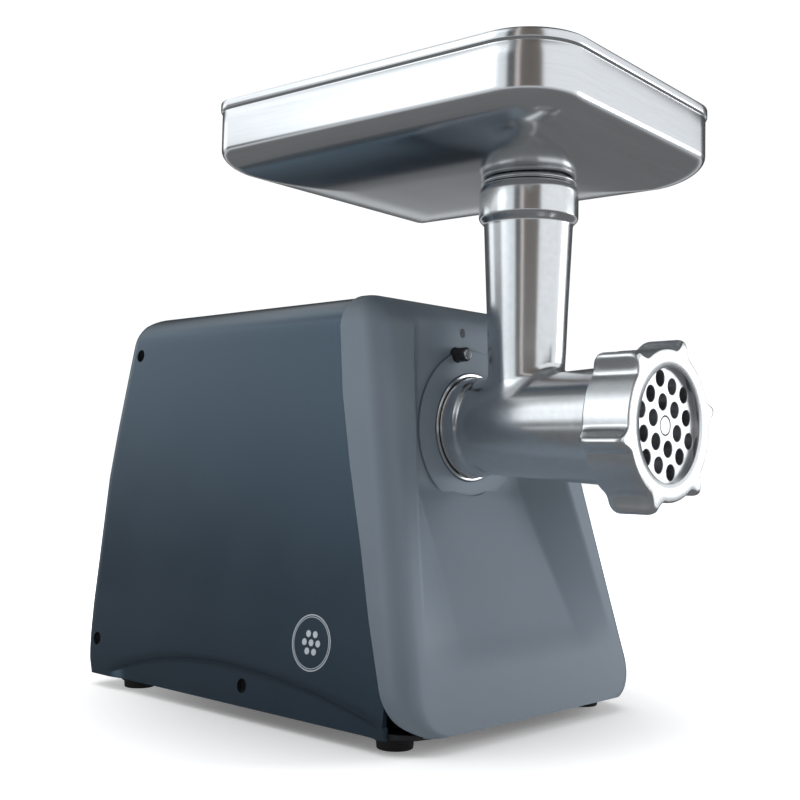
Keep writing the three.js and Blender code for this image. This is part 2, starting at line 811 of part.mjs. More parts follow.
const HEAD_REAR = -24;
const headOuter = [
  [0, HEAD_REAR],
  [27.6, HEAD_REAR],
  [27.6, -59.5],
  [27.1, -61],
  [26, -62.5],
  [29.75, -136.7],
  [30.4, -148.5],
  [32, -150.2],
  [34.5, -150.6],
  [34.5, -168.5],
  [0, -168.5],
];
const headInner = [
  [0, -30],
  [23, -30],
  [23, -66],
  [26.7, -136.7],
  [27.6, -157.6],
  [31.35, -157.6],
  [31.35, -175],
  [0, -175],
];
const TUBE_FOOT_R = 19.4;
const TUBE_HEAD_R = 23.95;
const feedOuter = [
  [0, HEAD_Z],
  [TUBE_FOOT_R, HEAD_Z],
  [TUBE_HEAD_R, 268],
  [26.75, 271],
  [26.75, 285.4],
  [25.7, 288],
  [24.6, COLLAR_TOP],
  [0, COLLAR_TOP],
];
const TUBE_WALL = 2.6;
const feedInner = [
  [0, HEAD_Z],
  [TUBE_FOOT_R - TUBE_WALL, HEAD_Z],
  [TUBE_HEAD_R - TUBE_WALL, 268],
  [TUBE_HEAD_R - TUBE_WALL, 271.5],
  [23.7, 271.5],
  [23.7, 295],
  [0, 295],
];
const KEY_RADIUS = 1.6;
const KEY_AT = 31;

function grinderHead() {
  const outer = join(
    turnedY(headOuter, 0, HEAD_Z, 28),
    turnedZ(feedOuter, 0, TUBE_Y, 24),
  );
  return cut(
    outer,
    turnedY(headInner, 0, HEAD_Z, 28),
    turnedZ(feedInner, 0, TUBE_Y, 24),
    rodY(10.4, -40, -20, 0, HEAD_Z, 16),
    rodY(KEY_RADIUS + 0.3, -175, -160, 0, HEAD_Z + KEY_AT, 8),
  );
}
piece("grinder_head", grinderHead(), "casting");
piece("head_bush", ringY(7.3, 10, -30, -24, 0, HEAD_Z, 16), "nylon");
piece("plate_key", rodY(KEY_RADIUS, -168.2, -160.3, 0, HEAD_Z + KEY_AT, 8), "steel");

// ---- auger, knife, plate and ring nut --------------------------------------------------------------------

// The screw's thread: a band that winds forwards round the core and grows with the barrel.
function augerThread() {
  const turns = 3.6;
  const stepsPerTurn = 12;
  const count = Math.round(turns * stepsPerTurn);
  const start = -38;
  const end = -150;
  const rings = [];
  for (let i = 0; i <= count; i++) {
    const t = i / count;
    const turn = -2 * Math.PI * turns * t;
    const y = start + (end - start) * (t * 0.85 + 0.15 * (1 - (1 - t) ** 2));
    const outer = 21.8 + (26 - 21.8) * Math.max(0, (-y - 66) / 71);
    const radii = [6, outer, outer, 6];
    const sides = [2.6, 1.2, -1.2, -2.6];
    rings.push(
      radii.map((r, k) => [r * Math.cos(turn), y + sides[k], HEAD_Z + r * Math.sin(turn)]),
    );
  }
  return loft(rings);
}

const KNIFE_REAR = -158;
const KNIFE_FRONT = -165.05;
const KNIFE_SQUARE = 12;
function auger() {
  const core = turnedY(
    [[0, -22], [7, -22], [7, -30.6], [10, -30.6], [10, -100], [14, -157.6], [0, -157.6]],
    0, HEAD_Z, 16,
  );
  const half = DRIVE_SQUARE / 2;
  const tail = box(-half, half, -22.6, -2.5, HEAD_Z - half, HEAD_Z + half);
  const knifeHalf = KNIFE_SQUARE / 2;
  const nose = box(-knifeHalf, knifeHalf, KNIFE_FRONT, -157, HEAD_Z - knifeHalf, HEAD_Z + knifeHalf);
  return join(core, tail, nose, rodY(4.4, -173.2, -164, 0, HEAD_Z, 12), augerThread());
}
piece("auger", auger(), "casting");

function knife() {
  const arms = [0, 1].map((quarter) => {
    const arm = new THREE.BoxGeometry(55, KNIFE_REAR - KNIFE_FRONT, 9);
    arm.translate(0, (KNIFE_REAR + KNIFE_FRONT) / 2, 0);
    arm.rotateY((quarter * Math.PI) / 2 + 0.4);
    arm.translate(0, 0, HEAD_Z);
    return solid(arm);
  });
  const hole = KNIFE_SQUARE / 2 + 0.3;
  return cut(
    join(...arms, rodY(12, KNIFE_FRONT, KNIFE_REAR, 0, HEAD_Z, 16)),
    box(-hole, hole, -170, -150, HEAD_Z - hole, HEAD_Z + hole),
  );
}
piece("knife", knife(), "steel");

const PLATE_FRONT = NUT_FRONT + LIP;
const HOLE_PITCH = 11.7;
const HOLE_TURN = THREE.MathUtils.degToRad(-17.4);

function grinderPlate() {
  const shape = circle(0, HEAD_Z, PLATE_R, 36);
  shape.holes.push(circle(0, HEAD_Z, 4.8, 12));
  for (let i = -2; i <= 2; i++) {
    for (let j = -2; j <= 2; j++) {
      const a = HOLE_PITCH * (i + j / 2);
      const b = HOLE_PITCH * j * Math.sin(Math.PI / 3);
      const r = Math.hypot(a, b);
      if (r < 1 || r > 2.1 * HOLE_PITCH) continue;
      const x = a * Math.cos(HOLE_TURN) - b * Math.sin(HOLE_TURN);
      const z = a * Math.sin(HOLE_TURN) + b * Math.cos(HOLE_TURN);
      shape.holes.push(circle(x, HEAD_Z + z, 4, 8));
    }
  }
  return cut(
    alongY(shape, PLATE_FRONT + 0.05, PLATE_FRONT + PLATE_THICK),
    rodY(KEY_RADIUS + 0.3, -175, -160, 0, HEAD_Z + KEY_AT, 8),
  );
}
piece("grinder_plate", grinderPlate(), "steel");

const LOBES = 6;
const LOBE_START = THREE.MathUtils.degToRad(12);
const NUT_R = 38.3;
const LOBE_TIP = 44.5;

function ringNut() {
  const rim = turnedY(
    [
      [28.5, NUT_FRONT],
      [37.2, NUT_FRONT],
      [NUT_R, NUT_FRONT + 1.2],
      [NUT_R, NUT_REAR - 0.8],
      [37.6, NUT_REAR],
      [28.5, NUT_REAR],
      [28.5, NUT_FRONT],
    ],
    0, HEAD_Z, 36,
  );
  const lobes = [];
  for (let i = 0; i < LOBES; i++) {
    const shape = new THREE.Shape();
    shape.moveTo(34, -12);
    shape.lineTo(37.2, -9.5);
    shape.quadraticCurveTo(39, -4.5, LOBE_TIP - 1.5, -3);
    shape.quadraticCurveTo(LOBE_TIP, -2.6, LOBE_TIP, 0);
    shape.quadraticCurveTo(LOBE_TIP, 2.6, LOBE_TIP - 1.5, 3);
    shape.quadraticCurveTo(39, 4.5, 37.2, 9.5);
    shape.lineTo(34, 12);
    const g = new THREE.ExtrudeGeometry(shape, { depth: 23, bevelEnabled: false, curveSegments: 2 });
    g.rotateX(Math.PI / 2);
    g.translate(0, NUT_REAR - 1.5, 0);
    g.rotateY(-(LOBE_START + (2 * Math.PI * i) / LOBES));
    g.translate(0, 0, HEAD_Z);
    lobes.push(solid(g));
  }
  return cut(
    join(rim, ...lobes),
    rodY(35, PLATE_FRONT - 0.3, -140, 0, HEAD_Z, 36),
  );
}
piece("ring_nut", ringNut(), "casting");

// ---- tray --------------------------------------------------------------------------------------------------

// The pan is drawn round the feed tube's axis and then turned with the tray.
function panForm(grow, bottom, top, edge) {
  const rings = [];
  for (let i = 0; i <= 4; i++) {
    const turn = (i / 4) * (Math.PI / 2);
    rings.push([bottom + edge.height * (1 - Math.cos(turn)), edge.width * (1 - Math.sin(turn))]);
  }
  rings.push([top, 0]);
  return loft(
    rings.map(([z, inset]) => {
      const half = TRAY_HALF + grow - inset;
      const front = -TRAY_FORWARD + 1 - grow + inset;
      const rear = TRAY_REARWARD - 1 + grow - inset;
      const frontR = Math.max(TRAY_CORNER.front + grow - inset, 3);
      const rearR = Math.max(TRAY_CORNER.rear + grow - inset, 3);
      return roundedRing(-half, half, front, rear, z, frontR, rearR, 4);
    }),
  );
}

function placeTray(shape) {
  const place = new THREE.Matrix4().makeRotationZ(TRAY_TURN);
  place.setPosition(0, TUBE_Y, 0);
  return shape.transform(place.elements);
}

function trayPan() {
  const rimFrom = TRAY_RIM - 5;
  const rim = loft(
    [rimFrom, TRAY_RIM].map((z) => {
      const half = TRAY_HALF + 1;
      const { front, rear } = TRAY_CORNER;
      return roundedRing(-half, half, -TRAY_FORWARD, TRAY_REARWARD, z, front + 1, rear + 1, 4);
    }),
  );
  return cut(
    join(panForm(0, TRAY_BOTTOM, TRAY_RIM, TRAY_EDGE), rim),
    panForm(-SHEET, TRAY_BOTTOM + SHEET, TRAY_RIM + 10, TRAY_EDGE),
    rodZ(21.6, TRAY_BOTTOM - 5, TRAY_BOTTOM + 5, 0, 0, 20),
  );
}
piece("tray", placeTray(trayPan()), "stainless");

const spigotProfile = [
  [21.6, 272],
  [23.3, 272],
  [23.3, 289.4],
  [25.2, 289.4],
  [25.9, 290.3],
  [25.2, 291.2],
  [24, TRAY_BOTTOM - GAP],
  [21.6, TRAY_BOTTOM - GAP],
  [21.6, 272],
];
piece("tray_spigot", turnedZ(spigotProfile, 0, TUBE_Y, 20), "stainless");

export default group;
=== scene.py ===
import bisect
import json
import math

import bmesh
import bpy
from mathutils import Matrix, Vector


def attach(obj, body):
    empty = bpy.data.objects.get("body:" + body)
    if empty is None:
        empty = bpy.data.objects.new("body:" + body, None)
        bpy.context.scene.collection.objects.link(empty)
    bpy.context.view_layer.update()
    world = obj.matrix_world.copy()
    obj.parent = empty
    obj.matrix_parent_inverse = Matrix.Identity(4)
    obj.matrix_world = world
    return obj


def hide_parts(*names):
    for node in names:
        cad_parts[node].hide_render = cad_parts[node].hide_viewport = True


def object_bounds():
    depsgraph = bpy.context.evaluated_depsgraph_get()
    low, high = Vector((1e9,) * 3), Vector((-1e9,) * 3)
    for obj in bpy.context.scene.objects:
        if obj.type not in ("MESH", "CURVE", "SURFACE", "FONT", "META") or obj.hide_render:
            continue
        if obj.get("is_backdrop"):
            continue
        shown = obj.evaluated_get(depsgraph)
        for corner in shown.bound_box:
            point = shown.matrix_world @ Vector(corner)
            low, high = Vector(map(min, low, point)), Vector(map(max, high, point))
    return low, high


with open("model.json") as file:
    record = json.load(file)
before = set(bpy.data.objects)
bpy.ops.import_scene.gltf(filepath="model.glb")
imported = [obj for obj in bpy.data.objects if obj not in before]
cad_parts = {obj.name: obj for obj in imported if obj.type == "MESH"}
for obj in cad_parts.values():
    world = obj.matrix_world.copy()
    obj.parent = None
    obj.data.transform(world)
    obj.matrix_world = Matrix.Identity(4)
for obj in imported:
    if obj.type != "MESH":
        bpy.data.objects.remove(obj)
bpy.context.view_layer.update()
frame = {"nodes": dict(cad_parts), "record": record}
nodes = frame["nodes"]

# ---- camera ------------------------------------------------------------------------------
# A low three-quarter view from the front left, a little below the middle of the machine.
CAMERA_PLACE = (-0.5099, -0.4735, 0.13769)
CAMERA_TURN = math.radians(-46.89)
CAMERA_LIFT = math.radians(3.15)
CAMERA_ROLL = math.radians(1.11)
look = Vector((
    -math.sin(CAMERA_TURN) * math.cos(CAMERA_LIFT),
    math.cos(CAMERA_TURN) * math.cos(CAMERA_LIFT),
    math.sin(CAMERA_LIFT),
))
level_right = Vector((math.cos(CAMERA_TURN), math.sin(CAMERA_TURN), 0))
level_up = level_right.cross(look)
camera_right = math.cos(CAMERA_ROLL) * level_right + math.sin(CAMERA_ROLL) * level_up
camera_up = math.cos(CAMERA_ROLL) * level_up - math.sin(CAMERA_ROLL) * level_right
camera_data = bpy.data.cameras.new("camera")
camera_data.lens = 53.45
camera_data.sensor_width = 36
camera_data.clip_start = 0.01
camera = bpy.data.objects.new("camera", camera_data)
turn = Matrix((camera_right, camera_up, -look)).transposed()
camera.matrix_world = Matrix.Translation(CAMERA_PLACE) @ turn.to_4x4()
bpy.context.collection.objects.link(camera)
bpy.context.scene.camera = camera
bpy.context.scene.view_settings.view_transform = "Standard"

# ---- studio ------------------------------------------------------------------------------
# A white table top and a plain white room. Polished metal sees soft boxes, with dark gaps between.


def new_object(name, mesh):
    thing = bpy.data.objects.new(name, mesh)
    bpy.context.collection.objects.link(thing)
    return thing


def mesh_from(name, points, faces, smooth=True):
    # A mesh in metres from points in millimetres, with its faces turned outwards.
    mesh = bpy.data.meshes.new(name)
    mesh.from_pydata([(x / 1000, y / 1000, z / 1000) for x, y, z in points], [], faces)
    shape = bmesh.new()
    shape.from_mesh(mesh)
    bmesh.ops.remove_doubles(shape, verts=shape.verts, dist=2e-6)
    bmesh.ops.dissolve_degenerate(shape, edges=shape.edges, dist=1e-6)
    bmesh.ops.recalc_face_normals(shape, faces=shape.faces)
    shape.to_mesh(mesh)
    shape.free()
    mesh.polygons.foreach_set("use_smooth", [smooth] * len(mesh.polygons))
    return mesh


def new_material(name):
    material = bpy.data.materials.new(name)
    material.use_nodes = True
    tree = material.node_tree
    return material, tree, tree.nodes["Principled BSDF"]


FLOOR_HALF = 6000
floor = new_object("floor", mesh_from(
    "floor",
    [(x * FLOOR_HALF, y * FLOOR_HALF, 0) for x, y in ((-1, -1), (1, -1), (1, 1), (-1, 1))],
    [(0, 1, 2, 3)],
))
floor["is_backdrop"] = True
floor_material = bpy.data.materials.new("table_top")
floor_material.use_nodes = True
tree = floor_material.node_tree
tree.nodes.clear()
path = tree.nodes.new("ShaderNodeLightPath")
white = tree.nodes.new("ShaderNodeBsdfDiffuse")
white.inputs["Color"].default_value = (0.93, 0.93, 0.93, 1)
# The table top glows: painted light, dim near the machine and full white farther out, so the floor round the
# machine is darker as painted shade, under the lamps' own shadows.
glow = tree.nodes.new("ShaderNodeEmission")
glow.inputs["Color"].default_value = (1, 1, 1, 1)
table_place = tree.nodes.new("ShaderNodeTexCoord")
table_reach = tree.nodes.new("ShaderNodeVectorMath")
table_reach.operation = "LENGTH"
tree.links.new(table_place.outputs["Object"], table_reach.inputs[0])
far = tree.nodes.new("ShaderNodeMapRange")
far.interpolation_type = "SMOOTHSTEP"
far.inputs["From Min"].default_value = 0.06
far.inputs["From Max"].default_value = 0.38
far.inputs["To Min"].default_value = 0.14
far.inputs["To Max"].default_value = 1.1
tree.links.new(table_reach.outputs["Value"], far.inputs["Value"])
tree.links.new(far.outputs["Result"], glow.inputs["Strength"])
lit = tree.nodes.new("ShaderNodeAddShader")
# Glossy rays see the table as a dim grey glow that brightens towards the horizon: a painted reflection of
# the floor in the metal.
dim = tree.nodes.new("ShaderNodeEmission")
dim.inputs["Color"].default_value = (0.13, 0.135, 0.14, 1)
horizon = tree.nodes.new("ShaderNodeMapRange")
horizon.interpolation_type = "SMOOTHSTEP"
horizon.inputs["From Min"].default_value = 0.9
horizon.inputs["From Max"].default_value = 2.2
horizon.inputs["To Min"].default_value = 1
horizon.inputs["To Max"].default_value = 4
tree.links.new(table_reach.outputs["Value"], horizon.inputs["Value"])
tree.links.new(horizon.outputs["Result"], dim.inputs["Strength"])
pick = tree.nodes.new("ShaderNodeMixShader")
out = tree.nodes.new("ShaderNodeOutputMaterial")
tree.links.new(white.outputs[0], lit.inputs[0])
tree.links.new(glow.outputs[0], lit.inputs[1])
tree.links.new(path.outputs["Is Glossy Ray"], pick.inputs["Fac"])
tree.links.new(lit.outputs[0], pick.inputs[1])
tree.links.new(dim.outputs[0], pick.inputs[2])
tree.links.new(pick.outputs[0], out.inputs["Surface"])
floor.data.materials.append(floor_material)

# Each soft box: compass direction from +Y towards +X, half width full and gone, elevation where it
# starts and is full, elevation where it begins to fade and is gone, colour, strength.
SOFT_BOXES = [
    (-38, 24, 42, 2, 13, 26, 42, (0.93, 0.97, 1.0), 1.02),
    (8, 22, 40, 30, 42, 60, 75, (1.0, 1.0, 1.0), 1.0),
    (-50, 40, 60, 22, 32, 50, 62, (0.93, 0.97, 1.0), 0.35),
    (155, 46, 54, -9, -3, 34, 50, (0.94, 0.97, 1.0), 0.82),
    (123, 7, 13, -9, -4, 5, 10, (0.95, 0.98, 1.0), 3.0),
    (-73, 17, 23, -8, -1, 30, 50, (0.9, 0.96, 1.0), 0.8),
    (-15, 8, 12, -8, -1, 12, 20, (0.9, 0.96, 1.0), 0.6),
    (-112, 2, 5, -30, -20, 60, 80, (1.0, 0.9, 0.86), 0.6),
    (-138, 14, 24, -20, -10, 40, 60, (0.42, 0.30, 0.20), 0.16),
]
ROOM_SHADE = (0.075, 0.08, 0.085)
world = bpy.data.worlds.new("studio")
bpy.context.scene.world = world
world.use_nodes = True
tree = world.node_tree
tree.nodes.clear()


def fade_node(source, gone, full, strength=1):
    fade = tree.nodes.new("ShaderNodeMapRange")
    fade.interpolation_type = "SMOOTHSTEP"
    fade.inputs["From Min"].default_value = gone
    fade.inputs["From Max"].default_value = full
    fade.inputs["To Max"].default_value = strength
    tree.links.new(source, fade.inputs["Value"])
    return fade.outputs["Result"]


def times(first, second):
    product = tree.nodes.new("ShaderNodeMath")
    product.operation = "MULTIPLY"
    tree.links.new(first, product.inputs[0])
    tree.links.new(second, product.inputs[1])
    return product.outputs[0]


direction = tree.nodes.new("ShaderNodeTexCoord")
parts = tree.nodes.new("ShaderNodeSeparateXYZ")
tree.links.new(direction.outputs["Generated"], parts.inputs[0])
flat = tree.nodes.new("ShaderNodeVectorMath")
flat.operation = "MULTIPLY"
flat.inputs[1].default_value = (1, 1, 0)
tree.links.new(direction.outputs["Generated"], flat.inputs[0])
level = tree.nodes.new("ShaderNodeVectorMath")
level.operation = "NORMALIZE"
tree.links.new(flat.outputs[0], level.inputs[0])
total = None
for compass, inner, outer, low, low_full, high_full, high, colour, strength in SOFT_BOXES:
    dot = tree.nodes.new("ShaderNodeVectorMath")
    dot.operation = "DOT_PRODUCT"
    dot.inputs[1].default_value = (math.sin(math.radians(compass)), math.cos(math.radians(compass)), 0)
    tree.links.new(level.outputs[0], dot.inputs[0])
    gone, full = (math.cos(math.radians(a)) for a in (outer, inner))
    across = fade_node(dot.outputs["Value"], gone, full, strength)
    over, under = (
        fade_node(parts.outputs["Z"], math.sin(math.radians(a)), math.sin(math.radians(b)))
        for a, b in ((low, low_full), (high, high_full))
    )
    tint = tree.nodes.new("ShaderNodeVectorMath")
    tint.operation = "SCALE"
    tint.inputs[0].default_value = colour
    tree.links.new(times(across, times(over, under)), tint.inputs["Scale"])
    add = tree.nodes.new("ShaderNodeVectorMath")
    add.operation = "ADD"
    tree.links.new(tint.outputs[0], add.inputs[0])
    if total:
        tree.links.new(total, add.inputs[1])
    else:
        add.inputs[1].default_value = ROOM_SHADE
    total = add.outputs[0]
room = tree.nodes.new("ShaderNodeBackground")
tree.links.new(total, room.inputs["Color"])
bright = tree.nodes.new("ShaderNodeBackground")
bright.inputs["Color"].default_value = (1, 1, 1, 1)
bright.inputs["Strength"].default_value = 1.05
soft = tree.nodes.new("ShaderNodeBackground")
soft.inputs["Color"].default_value = (0.95, 0.97, 1.0, 1)
soft.inputs["Strength"].default_value = 0.27
path = tree.nodes.new("ShaderNodeLightPath")
for_shine = tree.nodes.new("ShaderNodeMixShader")
for_camera = tree.nodes.new("ShaderNodeMixShader")
out = tree.nodes.new("ShaderNodeOutputWorld")
tree.links.new(path.outputs["Is Glossy Ray"], for_shine.inputs["Fac"])
tree.links.new(soft.outputs[0], for_shine.inputs[1])
tree.links.new(room.outputs[0], for_shine.inputs[2])
tree.links.new(path.outputs["Is Camera Ray"], for_camera.inputs["Fac"])
tree.links.new(for_shine.outputs[0], for_camera.inputs[1])
tree.links.new(bright.outputs[0], for_camera.inputs[2])
tree.links.new(for_camera.outputs[0], out.inputs["Surface"])

LAMPS = [
    ("top_lamp", (0.0, 0.15, 1.7), 1.8, 15),
    ("key_lamp", (-1.0, 0.5, 1.3), 1.0, 5),
    ("front_lamp", (1.6, -0.9, 0.5), 0.9, 26),
]
for name, place, size, watts in LAMPS:
    lamp_data = bpy.data.lights.new(name, "AREA")
    lamp_data.size = size
    lamp_data.energy = watts
    lamp = bpy.data.objects.new(name, lamp_data)
    lamp.location = place
    aim = Vector((0, 0, 0.15)) - Vector(place)
    lamp.rotation_euler = aim.to_track_quat("-Z", "Y").to_euler()
    lamp.visible_glossy = False
    bpy.context.collection.objects.link(lamp)

# ---- motor body form ---------------------------------------------------------------------
# The two side panels and the front cover are moulded to one form: it narrows upwards, leans
# back at the front and has a rounded top edge. Both are ABS, 3 mm thick, screwed together.
BODY_BOTTOM = 7.5
BODY_TOP = 228.6
TOP_ROUNDING = 18
FRONT_CORNER = 12
REAR_CORNER = 9
SEAM_TOP = -24.5
FOOT_HALF_WIDTH = 100.4
SIDE_LEAN = 0.11047
FRONT_FOOT = -100
FRONT_LEAN = 0.24
REAR_LINE = [
    (7.5, 171), (11, 174), (16, 176), (30, 178), (49, 179), (125, 179), (157, 176), (197, 171),
    (228.6, 166.6),
]
SEAM = [
    (7.5, -97), (9.5, -95.6), (16, -85), (28, -78.5), (63, -66.2), (97, -56.1), (138, -42.6), (175, -32.1),
    (214, SEAM_TOP), (240, SEAM_TOP),
]
SHELL = 0.003


def between(table, at):
    heights = [row[0] for row in table]
    i = min(max(bisect.bisect_right(heights, at) - 1, 0), len(table) - 2)
    (a, va), (b, vb) = table[i], table[i + 1]
    return va + (vb - va) * min(max((at - a) / (b - a), 0), 1)


def smoothly(table, at, reach=5):
    # The same table with its corners rounded off, from five samples either side.
    return sum(between(table, at + reach * k / 5) for k in range(-5, 6)) / 11


def ease(t):
    t = min(max(t, 0), 1)
    return t * t * (3 - 2 * t)


def half_width(z):
    return FOOT_HALF_WIDTH - (z - BODY_BOTTOM) * SIDE_LEAN


def front_face(z):
    return FRONT_FOOT + (z - BODY_BOTTOM) * FRONT_LEAN


def rear_face(z):
    return smoothly(REAR_LINE, z, 4)


def side_at(y, z, inset):
    # Half the body's width at one depth and height, on the wall or in one of its round corners.
    half = half_width(z) - inset
    front = front_face(z) + inset
    rear = rear_face(z) - inset
    round_front = max(FRONT_CORNER - inset, 4)
    round_rear = max(REAR_CORNER - inset, 3)
    if y < front + round_front:
        drop = min(front + round_front - y, round_front)
        return half - round_front + math.sqrt(round_front ** 2 - drop ** 2)
    if y > rear - round_rear:
        drop = min(y - rear + round_rear, round_rear)
        return half - round_rear + math.sqrt(round_rear ** 2 - drop ** 2)
    return half


def top_rows(inset, steps):
    # Heights and insets of the rounded top edge.
    rows = []
    radius = TOP_ROUNDING - inset
    for i in range(steps + 1):
        angle = math.pi / 2 * i / steps
        height = BODY_TOP - inset - radius + radius * math.sin(angle)
        rows.append((height, inset + radius * (1 - math.cos(angle))))
    return rows


def grid_faces(columns, rows, start=0):
    corners = [start + r * columns + c for r in range(rows - 1) for c in range(columns - 1)]
    return [(k, k + 1, k + columns + 1, k + columns) for k in corners]


def band_faces(first, second, count):
    # The faces between two closed rings of points, each ring given by its number.
    a, b = first * count, second * count
    return [(a + i, a + (i + 1) % count, b + (i + 1) % count, b + i) for i in range(count)]


def cutter(name, points, faces):
    # A closed shape that takes material away from a piece and is then dropped.
    return new_object(name, mesh_from(name, points, faces))


def turned(profile, segments, axis="Z", centre=(0, 0, 0)):
    # Points and faces of a closed profile of (radius, height) turned about an axis.
    points = []
    for r, h in profile:
        for i in range(segments):
            a = 2 * math.pi * i / segments
            u, v = r * math.cos(a), r * math.sin(a)
            place = {"Z": (u, v, h), "Y": (u, h, v), "X": (h, u, v)}[axis]
            points.append(tuple(p + c for p, c in zip(place, centre)))
    faces = []
    for k in range(len(profile)):
        n = (k + 1) % len(profile)
        if profile[k][0] < 1e-6 and profile[n][0] < 1e-6:
            continue
        faces += band_faces(k, n, segments)
    return points, faces


def lathe(name, profile, segments, axis="Z", centre=(0, 0, 0)):
    return new_object(name, mesh_from(name, *turned(profile, segments, axis, centre)))


def rounded(profile, radius, steps=4):
    # A profile with each corner of its open run rounded to one radius.
    out = [profile[0]]
    for before, corner, after in zip(profile, profile[1:], profile[2:]):
        corner = Vector(corner)
        back = Vector(before) - corner
        on = Vector(after) - corner
        reach = min(radius, back.length * 0.45, on.length * 0.45)
        first = corner + back.normalized() * reach
        last = corner + on.normalized() * reach
        for i in range(steps + 1):
            t = i / steps
            out.append(tuple(first.lerp(corner, t).lerp(corner.lerp(last, t), t)))
    out.append(profile[-1])
    return out


def apply_modifiers(thing):
    graph = bpy.context.evaluated_depsgraph_get()
    mesh = bpy.data.meshes.new_from_object(thing.evaluated_get(graph))
    old = thing.data
    thing.modifiers.clear()
    thing.data = mesh
    bpy.data.meshes.remove(old)


def carve(thing, tools, operation="DIFFERENCE"):
    for tool in tools:
        step = thing.modifiers.new("carve", "BOOLEAN")
        step.operation = operation
        step.solver = "EXACT"
        step.object = tool
    apply_modifiers(thing)
    for tool in tools:
        bpy.data.objects.remove(tool)


def soften(thing, width, angle=35):
    step = thing.modifiers.new("edges", "BEVEL")
    step.width = width
    step.segments = 2
    step.limit_method = "ANGLE"
    step.angle_limit = math.radians(angle)
    thing.data.polygons.foreach_set("use_smooth", [True] * len(thing.data.polygons))
    thing.data.set_sharp_from_angle(angle=math.radians(angle))


def finish_piece(thing, body, slot, material, *replaced):
    thing.data.materials.clear()
    thing.data.materials.append(material)
    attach(thing, body)
    if replaced:
        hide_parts(*replaced)


def add_group(name, inputs, outputs):
    group = bpy.data.node_groups.new(name, "ShaderNodeTree")
    for label, kind, value in inputs:
        socket = group.interface.new_socket(name=label, in_out="INPUT", socket_type=kind)
        socket.default_value = value
    for label, kind in outputs:
        group.interface.new_socket(name=label, in_out="OUTPUT", socket_type=kind)
    return group, group.nodes.new("NodeGroupInput"), group.nodes.new("NodeGroupOutput")


def use_group(tree, group, **values):
    node = tree.nodes.new("ShaderNodeGroup")
    node.node_tree = group
    for label, value in values.items():
        node.inputs[label.replace("_", " ")].default_value = value
    return node


SURFACE_OUTPUTS = [
    ("Color", "NodeSocketColor"), ("Roughness", "NodeSocketFloat"), ("Normal", "NodeSocketVector"),
]


def connect(tree, surface, shader):
    for label, socket in (("Color", "Base Color"), ("Roughness", "Roughness"), ("Normal", "Normal")):
        tree.links.new(surface.outputs[label], shader.inputs[socket])


# Moulded grain: fine spark texture in the mould, with a faint cloudy change of gloss and colour.
moulded_grain, into, give = add_group(
    "moulded grain",
    [
        ("Base", "NodeSocketColor", (0.5, 0.5, 0.5, 1)), ("Worn", "NodeSocketColor", (0.6, 0.6, 0.6, 1)),
        ("Gloss", "NodeSocketFloat", 0.4), ("Grain Size", "NodeSocketFloat", 2200),
        ("Depth", "NodeSocketFloat", 0.1),
    ],
    SURFACE_OUTPUTS,
)
where = moulded_grain.nodes.new("ShaderNodeTexCoord")
fine = moulded_grain.nodes.new("ShaderNodeTexNoise")
fine.inputs["Detail"].default_value = 3
cloud = moulded_grain.nodes.new("ShaderNodeTexNoise")
cloud.inputs["Scale"].default_value = 22
cloud.inputs["Detail"].default_value = 4
tone = moulded_grain.nodes.new("ShaderNodeMix")
tone.data_type = "RGBA"
fade = moulded_grain.nodes.new("ShaderNodeMapRange")
fade.inputs["From Min"].default_value = 0.4
fade.inputs["From Max"].default_value = 0.75
fade.inputs["To Max"].default_value = 0.5
shine = moulded_grain.nodes.new("ShaderNodeMath")
shine.operation = "MULTIPLY_ADD"
shine.inputs[1].default_value = 0.08
bump = moulded_grain.nodes.new("ShaderNodeBump")
bump.inputs["Distance"].default_value = 0.0002
links = moulded_grain.links
for noise in (fine, cloud):
    links.new(where.outputs["Object"], noise.inputs["Vector"])
links.new(into.outputs["Grain Size"], fine.inputs["Scale"])
links.new(cloud.outputs["Fac"], fade.inputs["Value"])
links.new(fade.outputs["Result"], tone.inputs["Factor"])
links.new(into.outputs["Base"], tone.inputs["A"])
links.new(into.outputs["Worn"], tone.inputs["B"])
links.new(cloud.outputs["Fac"], shine.inputs[0])
links.new(into.outputs["Gloss"], shine.inputs[2])
links.new(fine.outputs["Fac"], bump.inputs["Height"])
links.new(into.outputs["Depth"], bump.inputs["Strength"])
links.new(tone.outputs["Result"], give.inputs["Color"])
links.new(shine.outputs[0], give.inputs["Roughness"])
links.new(bump.outputs["Normal"], give.inputs["Normal"])


def plastic(name, base, worn, gloss, grain_size=2200, depth=0.12, **constants):
    material, tree, shader = new_material(name)
    grain = use_group(
        tree, moulded_grain, Base=(*base, 1), Worn=(*worn, 1), Gloss=gloss,
        Grain_Size=grain_size, Depth=depth,
    )
    connect(tree, grain, shader)
    for label, value in constants.items():
        shader.inputs[label.replace("_", " ")].default_value = value
    return material


panel_plastic = plastic(
    "blue_black_plastic", (0.0125, 0.0185, 0.027), (0.016, 0.023, 0.032), 0.2, depth=0.05,
    IOR=1.85, Specular_Tint=(0.52, 0.78, 1.0, 1),
)
cover_plastic = plastic(
    "slate_grey_plastic", (0.122, 0.148, 0.178), (0.145, 0.172, 0.202), 0.36, depth=0.08,
    IOR=1.5, Specular_Tint=(0.85, 0.95, 1.0, 1),
)
black_plastic = plastic("black_plastic", (0.011, 0.011, 0.013), (0.02, 0.02, 0.022), 0.36)
# Darker, duller plastic for the screw wells: painted shade in the recesses of the panel.
shaded_well_plastic = plastic("shaded_well_plastic", (0.010, 0.010, 0.012), (0.014, 0.014, 0.016), 0.6)

